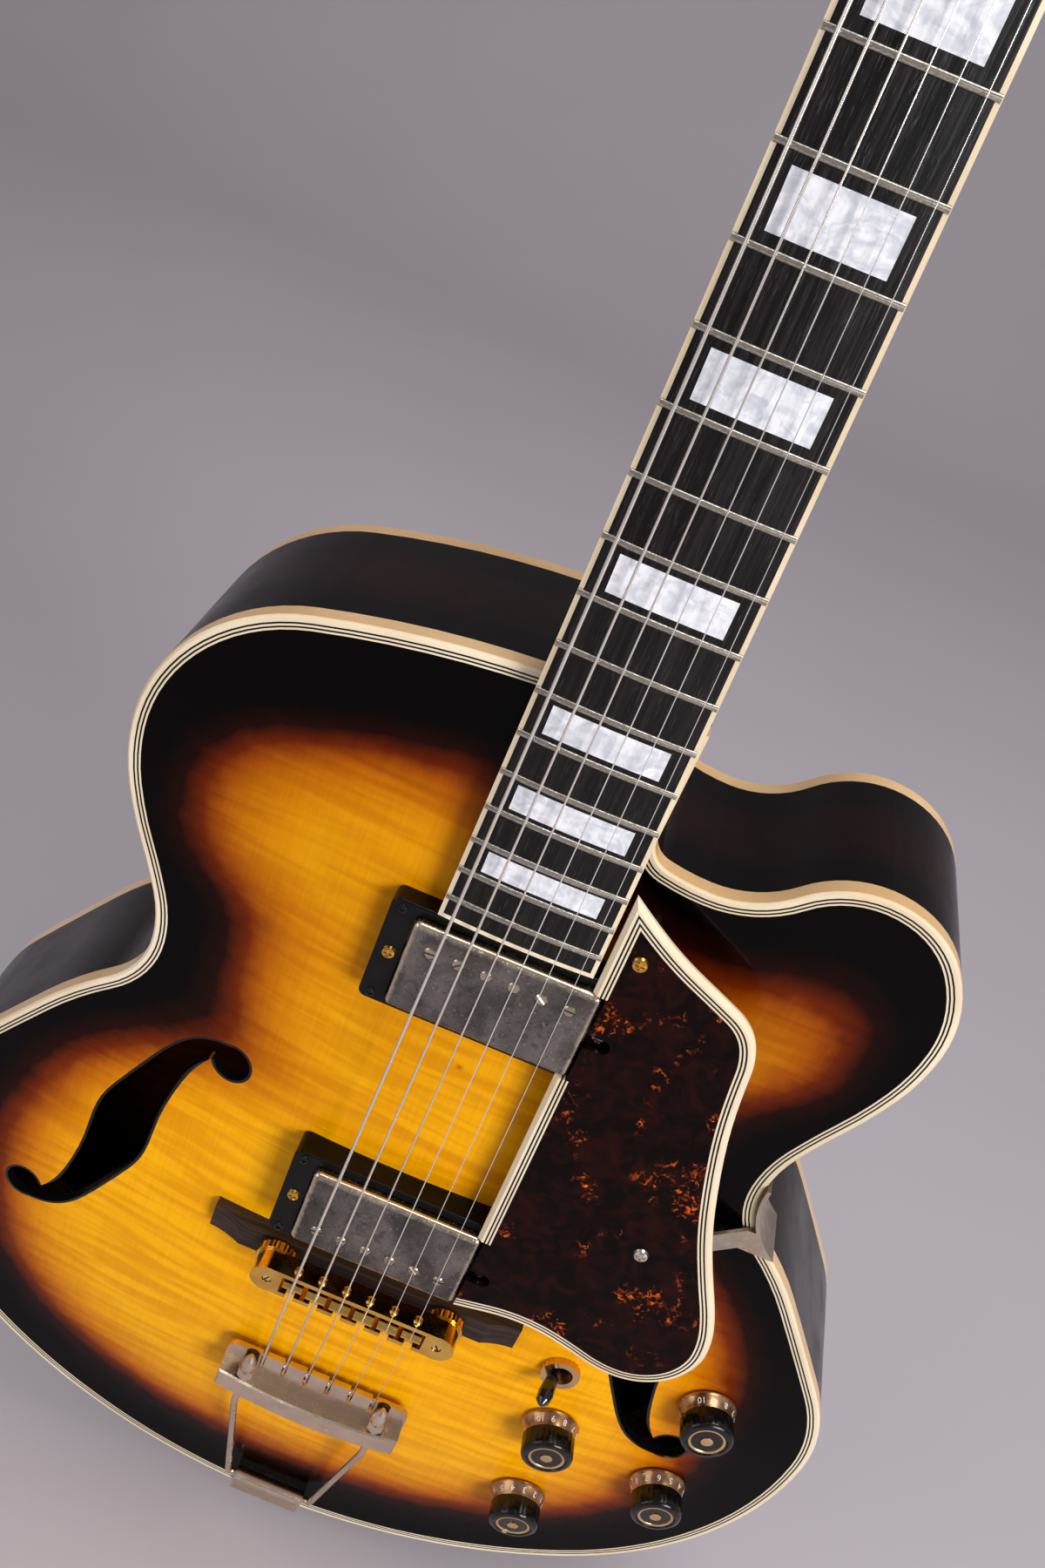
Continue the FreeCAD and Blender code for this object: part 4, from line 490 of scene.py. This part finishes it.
# Gold plated fittings: tuner housings, posts and buttons, the bridge bar with its saddles and
# thumbwheels, jack and strap buttons, bright plate over nickel that has gone dull and thin in places.
def plate(name, tones, dull, worn, wear_share, roughness):
    """A plated metal: two tones of plate, the tone of a dull film and the metal under the plate."""
    metal, shader, place = finish(name, Metallic=1.0)
    film = place.cloud(0.012, 5.0, 0.6).rise(0.35, 0.75)
    wear = place.cloud(0.005, 6.0, 0.3).rise(0.78 - wear_share, 0.9 - wear_share)
    pits = place.cloud(0.0007).rise(0.62, 0.75)
    tone = place.cloud(0.03).between(*tones)
    tone = (film * 0.45).between(tone, dull)
    tone = wear.between(tone, worn)
    (pits * 0.35).between(tone, tone.times((0.45, 0.42, 0.4))).feed(shader, "Base Color")
    (film * 0.16 + pits * 0.12 + roughness).feed(shader, "Roughness")
    pits.bump(shader, -0.00008, 0.25)
    return metal


gold = plate(
    "gold_plate",
    tones=(srgb(228, 174, 72), srgb(247, 204, 112)),
    dull=srgb(172, 120, 50),
    worn=srgb(228, 208, 172),
    wear_share=0.1,
    roughness=0.1,
)
coat_nodes(gold, "tuner_housings", "bridge_bar", "thumbwheel_bass", "thumbwheel_treble")
coat_nodes(gold, "output_jack", "strap_buttons")
for number in range(1, 7):
    coat_nodes(gold, f"tuner_post_{number}", f"tuner_button_{number}", f"saddle_{number}")


# Truss rod cover and pickup rings: moulded black plastic with a few scuffs and specks of dust, held
# by small screws to the headstock and to the top.
moulded_black, shader, place = finish(
    "moulded_black_plastic",
    Coat_Weight=0.08,
    Coat_Roughness=0.05,
    Specular_IOR_Level=0.15,
)
dust = place.cloud(0.0009).rise(0.72, 0.8)
scuff = place.cloud(0.018, 6.0, 0.8).rise(0.45, 0.8)
black = scuff.between(srgb(8, 8, 8), srgb(20, 19, 19))
(dust * 0.5).between(black, srgb(120, 112, 104)).feed(shader, "Base Color")
(scuff * 0.16 + dust * 0.3 + 0.14).feed(shader, "Roughness")
dust.bump(shader, 0.00005, 0.3)
coat_nodes(moulded_black, "truss_rod_cover", "pickup_rings")


# Pickups: two coils in drawn metal covers whose plating has gone cloudy grey and speckled, pale and
# warm at the edges, partly worn plate and partly painted highlight, with nickel pole screws.
# Blackened screws hold their rings to the top.
rim_inner = -0.0016
rim_outer = 0.0006
for pickup in ("neck", "bridge"):
    cover, shader, place = finish(pickup + "_cover_nickel", Metallic=1.0)
    low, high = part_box(pickup + "_pickup_cover")
    sideways = place.axis("X").maths("ABSOLUTE") - high.x
    lengthways = (place.axis("Z") - (low.z + high.z) / 2).maths("ABSOLUTE") - (high.z - low.z) / 2
    from_rim = sideways.maths("MAXIMUM", lengthways) + place.cloud(0.003, 5.0) * 0.002
    # The pale, warm edges of each cover are partly worn plate and partly a painted highlight.
    rim_wear_and_highlight = from_rim.rise(rim_inner, rim_outer)
    haze = place.cloud((0.016, 0.016, 0.022), 6.0, 0.5).rise(0.32, 0.72)
    blot = place.cloud(0.0045, 6.0, 0.6).rise(0.50, 0.72)
    specks = place.cloud(0.0008).rise(0.58, 0.70)
    bright_specks = place.cloud(0.0011).rise(0.64, 0.72)
    film = haze.between(srgb(86, 83, 79), srgb(136, 130, 123))
    film = (blot * 0.6).between(film, srgb(70, 69, 70))
    film = (specks * 0.65).between(film, srgb(44, 41, 39))
    film = (bright_specks * 0.6).between(film, srgb(190, 184, 176))
    rim_wear_and_highlight.between(film, srgb(214, 198, 174)).feed(shader, "Base Color")
    (haze * 0.14 + blot * 0.1 + specks * 0.2 - rim_wear_and_highlight * 0.08 + 0.22).feed(shader, "Roughness")
    (specks + haze * 0.2).bump(shader, -0.00008, 0.25)
    coat_nodes(cover, pickup + "_pickup_cover")

pole_nickel = plate(
    "pole_screw_nickel",
    tones=(srgb(158, 146, 128), srgb(204, 191, 171)),
    dull=srgb(104, 93, 80),
    worn=srgb(214, 204, 190),
    wear_share=0.1,
    roughness=0.12,
)
coat_nodes(pole_nickel, "neck_pickup_core", "bridge_pickup_core")

screw_black, shader, place = finish("blackened_screw", Metallic=0.6)
place.cloud(0.002, 4.0).between(srgb(16, 16, 17), srgb(44, 43, 43)).feed(shader, "Base Color")
place.cloud(0.001).rise(0.3, 0.8, 0.22, 0.4).feed(shader, "Roughness")
coat_nodes(screw_black, "black_screws")


# Bridge base: a foot of dark rosewood carved to the arch of the top, which only the strings hold in
# its place, with the grain running across the body.
rosewood, shader, place = finish("bridge_rosewood", Specular_IOR_Level=0.2)
grain = place.cloud((0.09, 0.003, 0.0016), 5.0, 0.2).rise(0.3, 0.75)
grain.between(srgb(30, 21, 17), srgb(66, 49, 40)).feed(shader, "Base Color")
grain.rise(0.0, 1.0, 0.45, 0.62).feed(shader, "Roughness")
grain.bump(shader, 0.0003, 0.3)
coat_nodes(rosewood, "bridge_base")


# Bridge posts: threaded rods under the bar, their slotted and chamfered upper ends bright in the bar's
# lugs, with slot and chamfer drawn in painted shade, the threads below dull and dark, with painted shade
# in their grooves.
post_radius = 0.002
thread_pitch = 0.0008
slot_lean = 0.6
slot_half = 0.0003
slot_edge = 0.0005
chamfer_start = 0.0015
chamfer_end = 0.0018
face_start = 0.0002
face_end = 0.0004

post_gold, shader, place = finish("slotted_post_gold", Metallic=1.0)
low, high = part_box("bridge_posts")
y = place.axis("Y")
from_axis = place.axis("X").maths("ABSOLUTE") - (high.x - post_radius)
lengthways = place.axis("Z") - (low.z + high.z) / 2
end_face = y.rise(low.y + face_start, low.y + face_end, 1.0, 0.0)
# Painted shade: the slot across each post end and the chamfer round its rim are drawn dark.
shaded_slot = (from_axis + lengthways * slot_lean).maths("ABSOLUTE").rise(slot_half, slot_edge, 1.0, 0.0)
shaded_chamfer = (from_axis * from_axis + lengthways * lengthways).maths("SQRT").rise(chamfer_start, chamfer_end)
# Painted shade: the grooves of the thread are darker than its crests.
thread_and_groove_shade = (y * (2 * math.pi / thread_pitch)).maths("SINE").rise(-1.0, 1.0)
tarnish = place.cloud(0.0015, 4.0).rise(0.35, 0.75)
rod = (thread_and_groove_shade * 0.6 + tarnish * 0.4).between(srgb(106, 70, 26), srgb(214, 160, 70))
end = tarnish.between(srgb(246, 222, 168), srgb(214, 176, 112))
end = shaded_slot.maths("MAXIMUM", shaded_chamfer * 0.8).between(end, srgb(38, 24, 10))
end_face.between(rod, end).feed(shader, "Base Color")
(tarnish * 0.2 + shaded_slot * end_face * 0.3 + 0.14).feed(shader, "Roughness")
(thread_and_groove_shade * (1 - end_face)).bump(shader, 0.0002, 0.5)
coat_nodes(post_gold, "bridge_posts")


# Pickguard: a plate of tortoise plastic, very dark red-brown with small curled orange and red flakes,
# polished, carried on a bent nickel strip from the rib.
tortoise, shader, place = finish(
    "tortoise_plastic",
    Coat_Weight=0.04,
    Coat_Roughness=0.03,
    Specular_IOR_Level=0.05,
)
curls = place.cloud((0.007, 0.010, 0.013), 5.0, 1.6)
ridge = 1 - (curls * 2 - 1).maths("ABSOLUTE")
clusters = place.cloud((0.015, 0.015, 0.024), 3.0, 0.5).rise(0.53, 0.66)
chips = place.cloud(0.0024, 3.0, 1.0).rise(0.50, 0.64)
flakes = ridge.rise(0.80, 0.95) * clusters * chips
murk = place.cloud(0.010, 5.0, 1.2).rise(0.35, 0.75)
ground = murk.between(srgb(9, 3, 3), srgb(34, 9, 5))
hot = place.cloud(0.004).rise(0.35, 0.65).between(srgb(104, 24, 7), srgb(222, 98, 22))
flakes.between(ground, hot).feed(shader, "Base Color")
(place.cloud(0.02, 4.0) * 0.14 + 0.12).feed(shader, "Roughness")
coat_nodes(tortoise, "pickguard")

strip_nickel = plate(
    "worn_nickel_strip",
    tones=(srgb(196, 180, 158), srgb(222, 206, 184)),
    dull=srgb(150, 134, 114),
    worn=srgb(206, 198, 188),
    wear_share=0.2,
    roughness=0.26,
)
coat_nodes(strip_nickel, "pickguard_bracket")


# Fixing screws: gold plated height screws of the pickups and the guard's upper screw, those under the
# guard darkened with painted shade, and a bright nickel screw that holds the guard to its strip.
strip_screw_x = 0.080
treble_x = 0.030
above_pickups_z = 0.400
tone_edge = 0.004

fixing, shader, place = finish("fixing_screw_plate", Metallic=1.0)
x = place.axis("X")
z = place.axis("Z")
at_strip = x.rise(strip_screw_x, strip_screw_x + tone_edge)
below_neck = z.rise(above_pickups_z, above_pickups_z + tone_edge, 1.0, 0.0)
# Painted shade: the height screws under the guard are darkened.
shaded_under_guard = x.rise(treble_x, treble_x + tone_edge) * below_neck * (1 - at_strip)
tarnish = place.cloud(0.0015, 4.0).rise(0.35, 0.75)
yellow = tarnish.between(srgb(236, 184, 86), srgb(150, 104, 46))
white = tarnish.between(srgb(236, 226, 214), srgb(150, 140, 128))
under_guard_shade = tarnish.between(srgb(150, 140, 130), srgb(70, 62, 56))
shaded_under_guard.between(at_strip.between(yellow, white), under_guard_shade).feed(shader, "Base Color")
(tarnish * 0.2 + 0.15).feed(shader, "Roughness")
coat_nodes(fixing, "gold_screws")


# Tailpiece: a bowed bar that holds the ball ends, two wire arms with round nuts and a hinge folded
# over the tail, all in thin gold plate that has gone pale and hazy.
pale_gold = plate(
    "hazy_gold_plate",
    tones=(srgb(210, 188, 166), srgb(230, 211, 191)),
    dull=srgb(178, 157, 138),
    worn=srgb(218, 209, 198),
    wear_share=0.18,
    roughness=0.19,
)
coat_nodes(pale_gold, "tailpiece_bar", "tailpiece_bracket")


# Strings: three bass strings wound with bright wire over a steel core and three plain steel ones,
# from the tailpiece over saddles and nut to the posts. They are cut into three lengths.
wound_edge = -0.0012
coil_pitch = 0.00042
past_headstock = 1.2
nut_z = 0.85
saddle_z = 0.2093
slack_z = 0.172
ball_z = 0.140
past_tail = -0.2

string_wire, shader, place = finish("string_wire", Metallic=0.75)
plain = place.axis("X").rise(wound_edge, 0.0)
coil_and_groove_shade = (place.axis("Z") * (2 * math.pi / coil_pitch)).maths("SINE").rise(-1.0, 1.0)
# Painted shade: the wound strings are darker in the grooves between their turns.
winding = coil_and_groove_shade.between(srgb(212, 202, 192), srgb(242, 235, 228))
plain.between(winding, srgb(238, 235, 230)).feed(shader, "Base Color")
(place.cloud((0.002, 0.002, 0.004)) * 0.16 + 0.14).feed(shader, "Roughness")
(coil_and_groove_shade * (1 - plain)).bump(shader, 0.00003, 0.2)
coat_nodes(string_wire, "strings")

string_lengths = {
    "strings_over_board": (saddle_z, past_headstock, "guitar", "bridge", nut_z, saddle_z),
    "strings_behind_bridge": (slack_z, saddle_z, "bridge", "guitar", saddle_z, slack_z),
    "strings_at_tailpiece": (past_tail, slack_z, "guitar", "tailpiece", slack_z, ball_z),
}
for name, (low_cut, high_cut, held_by, led_by, start_z, end_z) in string_lengths.items():
    bpy.ops.object.select_all(action="DESELECT")
    length = frame["nodes"]["strings"].copy()
    length.data = length.data.copy()
    length.name = name
    del length["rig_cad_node"]
    length.parent = None
    length.matrix_world = Matrix.Identity(4)
    bpy.context.collection.objects.link(length)
    length.select_set(True)
    bpy.context.view_layer.objects.active = length
    bpy.ops.object.mode_set(mode="EDIT")
    bpy.ops.mesh.select_all(action="SELECT")
    bpy.ops.mesh.remove_doubles(threshold=0.000001)
    for cut_z, below_goes in ((low_cut, True), (high_cut, False)):
        bpy.ops.mesh.select_all(action="SELECT")
        bpy.ops.mesh.bisect(
            plane_co=(0, 0, cut_z),
            plane_no=(0, 0, 1),
            use_fill=True,
            clear_inner=below_goes,
            clear_outer=not below_goes,
        )
    bpy.ops.mesh.select_all(action="SELECT")
    bpy.ops.mesh.normals_make_consistent(inside=False)
    bpy.ops.object.mode_set(mode="OBJECT")
    bpy.ops.object.shade_smooth_by_angle(angle=math.radians(50))
    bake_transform(length)
for name in string_lengths:
    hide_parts("strings")


# Selector switch: a round nut in worn bronze-coloured plate over the top, the frame of the switch
# below, and a toggle with a glossy black tip pushed on.
bronze = plate(
    "worn_bronze_plate",
    tones=(srgb(208, 166, 114), srgb(234, 198, 150)),
    dull=srgb(164, 124, 80),
    worn=srgb(224, 208, 186),
    wear_share=0.14,
    roughness=0.14,
)
coat_nodes(bronze, "selector_switch")

tip, shader, place = finish("glossy_black_tip", Coat_Weight=0.6, Coat_Roughness=0.03)
place.cloud(0.004).between(srgb(6, 6, 7), srgb(14, 14, 15)).feed(shader, "Base Color")
place.cloud(0.002).rise(0.3, 0.8, 0.1, 0.22).feed(shader, "Roughness")
coat_nodes(tip, "switch_lever")


# Control knobs: a flared skirt of clear plastic over gold paint with white numerals, a black grip with
# shallow flats round it and a gold ring and dot let into its top. Each is pushed on a pot shaft.
skirt_radius = 0.0128
skirt_high = 0.0062
grip_radius = 0.0114
grip_top = 0.0158
slope_foot = (skirt_radius - 0.0005, 0.0018)
slope_head = (grip_radius - 0.0002, skirt_high - 0.0006)
grip_sides = 96
sides_per_flat = 4
flat_depth = 0.00022
recess_floor = grip_top - 0.0006
recess_radius = grip_radius - 0.0030
ring_radius = grip_radius - 0.0036
dot_radius = 0.0026
bedding = 0.0001


def turned(name, rings, sides=72):
    """A closed round piece on the Z axis, raised from ring to ring of (radius, height)."""
    bpy.ops.object.select_all(action="DESELECT")
    radius, height = rings[0]
    start = (0, 0, height)
    bpy.ops.mesh.primitive_circle_add(vertices=sides, radius=radius, fill_type="NGON", location=start)
    piece = bpy.context.object
    piece.name = name
    bpy.ops.object.transform_apply(location=True, rotation=True, scale=True)
    bpy.ops.object.mode_set(mode="EDIT")
    bpy.ops.mesh.select_all(action="SELECT")
    for (radius, height), (next_radius, next_height) in zip(rings, rings[1:]):
        bpy.ops.mesh.extrude_region_move(TRANSFORM_OT_translate={"value": (0, 0, next_height - height)})
        scale = next_radius / radius
        bpy.ops.transform.resize(value=(scale, scale, 1), center_override=(0, 0, next_height))
    bpy.ops.mesh.select_all(action="SELECT")
    bpy.ops.mesh.normals_make_consistent(inside=False)
    bpy.ops.object.mode_set(mode="OBJECT")
    bpy.ops.object.shade_smooth_by_angle(angle=math.radians(40))
    return piece


skirt = turned(
    "knob_skirt",
    [
        (skirt_radius - 0.0006, 0.0),
        (skirt_radius, 0.0004),
        (skirt_radius, 0.0012),
        slope_foot,
        slope_head,
        (grip_radius - 0.0004, skirt_high),
    ],
)
grip = turned(
    "knob_grip",
    [
        (grip_radius - 0.0006, skirt_high - 0.0002),
        (grip_radius, skirt_high + 0.0004),
        (grip_radius, grip_top - 0.0018),
        (grip_radius - 0.0005, grip_top - 0.0007),
        (grip_radius - 0.0016, grip_top),
        (grip_radius - 0.0026, grip_top),
        (recess_radius, recess_floor),
        (0.0010, recess_floor),
    ],
    sides=grip_sides,
)
bpy.ops.object.mode_set(mode="EDIT")
bpy.ops.mesh.select_all(action="DESELECT")
bpy.ops.object.mode_set(mode="OBJECT")
for vertex in grip.data.vertices:
    side = round(math.atan2(vertex.co.y, vertex.co.x) / (2 * math.pi) * grip_sides)
    outer = math.hypot(vertex.co.x, vertex.co.y) > grip_radius - 0.0001
    vertex.select = outer and side % sides_per_flat == 0
bpy.ops.object.mode_set(mode="EDIT")
inward = 1 - flat_depth / grip_radius
bpy.ops.transform.resize(value=(inward, inward, 1), center_override=(0, 0, 0))
bpy.ops.object.mode_set(mode="OBJECT")
ring = turned(
    "knob_ring",
    [
        (ring_radius, recess_floor - bedding),
        (ring_radius, recess_floor + 0.0003),
        (ring_radius - 0.0003, recess_floor + 0.0004),
        (ring_radius - 0.0008, recess_floor + 0.0003),
        (ring_radius - 0.0011, recess_floor - 0.00002),
    ],
)
dot = turned(
    "knob_dot",
    [
        (dot_radius, recess_floor - bedding),
        (dot_radius, grip_top - 0.0002),
        (dot_radius - 0.0004, grip_top),
        (0.0008, grip_top + 0.0001),
    ],
)

numeral_size = 0.0037
numeral_deep = 0.00003
numeral_lift = 0.00004
numeral_step = math.radians(27)
slope_low = Vector((slope_foot[0], 0, slope_foot[1]))
slope_high = Vector((slope_head[0], 0, slope_head[1]))
slope_up = (slope_high - slope_low).normalized()
slope_out = Vector((0, 1, 0)).cross(slope_up)
slope_middle = (slope_low + slope_high) / 2 + slope_out * numeral_lift
stand = Matrix((Vector((0, 1, 0)), slope_up, slope_out)).transposed().to_4x4()
numerals = []
for number in range(11):
    bpy.ops.object.select_all(action="DESELECT")
    bpy.ops.object.text_add()
    figure = bpy.context.object
    figure.data.body = str(number)
    figure.data.size = numeral_size
    figure.data.extrude = numeral_deep
    figure.data.resolution_u = 3
    figure.data.align_x = "CENTER"
    figure.data.align_y = "CENTER"
    bpy.ops.object.convert(target="MESH")
    swing = Matrix.Rotation(number * numeral_step, 4, "Z")
    figure.data.transform(swing @ Matrix.Translation(slope_middle) @ stand)
    numerals.append(figure)
bpy.ops.object.select_all(action="DESELECT")
for figure in numerals:
    figure.select_set(True)
bpy.context.view_layer.objects.active = numerals[0]
bpy.ops.object.join()
scale_marks = bpy.context.object
scale_marks.name = "knob_numerals"

skirt_plastic, shader, place = finish(
    "gold_backed_plastic",
    Metallic=0.85,
    Coat_Weight=1.0,
    Coat_Roughness=0.04,
)
depth = place.cloud(0.006, 4.0).rise(0.3, 0.7)
depth.between(srgb(146, 102, 62), srgb(204, 156, 104)).feed(shader, "Base Color")
(depth * 0.12 + 0.2).feed(shader, "Roughness")

grip_black, shader, place = finish(
    "grip_black_plastic",
    Coat_Weight=0.2,
    Coat_Roughness=0.05,
    Specular_IOR_Level=0.25,
)
scuff = place.cloud(0.003, 5.0).rise(0.4, 0.8)
scuff.between(srgb(9, 8, 8), srgb(28, 24, 22)).feed(shader, "Base Color")
(scuff * 0.16 + 0.16).feed(shader, "Roughness")

inlay_gold = plate(
    "inlay_gold",
    tones=(srgb(222, 176, 118), srgb(241, 203, 150)),
    dull=srgb(176, 132, 84),
    worn=srgb(230, 200, 156),
    wear_share=0.05,
    roughness=0.2,
)

numeral_white, shader, place = finish("numeral_white", Roughness=0.5)
ink = place.cloud(0.0006).rise(0.3, 0.7)
ink.between(srgb(228, 222, 212), srgb(248, 245, 240)).feed(shader, "Base Color")

finishes = {
    skirt: skirt_plastic,
    grip: grip_black,
    ring: inlay_gold,
    dot: inlay_gold,
    scale_marks: numeral_white,
}
for pattern, material in finishes.items():
    pattern.data.materials.clear()
    pattern.data.materials.append(material)

turned_to = {
    "knob_neck_volume": 8.6,
    "knob_bridge_volume": 8.8,
    "knob_neck_tone": 3.0,
    "knob_bridge_tone": 5.4,
}
for joint in frame["joints"]:
    knob = joint["child"]
    if knob in turned_to:
        upright = Vector(joint["axis"]).normalized().to_track_quat("Z", "Y").to_matrix().to_4x4()
        spin = Matrix.Rotation(math.radians(90) - turned_to[knob] * numeral_step, 4, "Z")
        for pattern in finishes:
            piece = pattern.copy()
            piece.data = pattern.data.copy()
            piece.name = pattern.name.replace("knob", knob)
            bpy.context.collection.objects.link(piece)
            piece.data.transform(Matrix.Translation(joint["pos_m"]) @ upright @ spin)
            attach(piece, knob)
            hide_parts(knob)
for pattern in finishes:
    bpy.data.objects.remove(pattern)
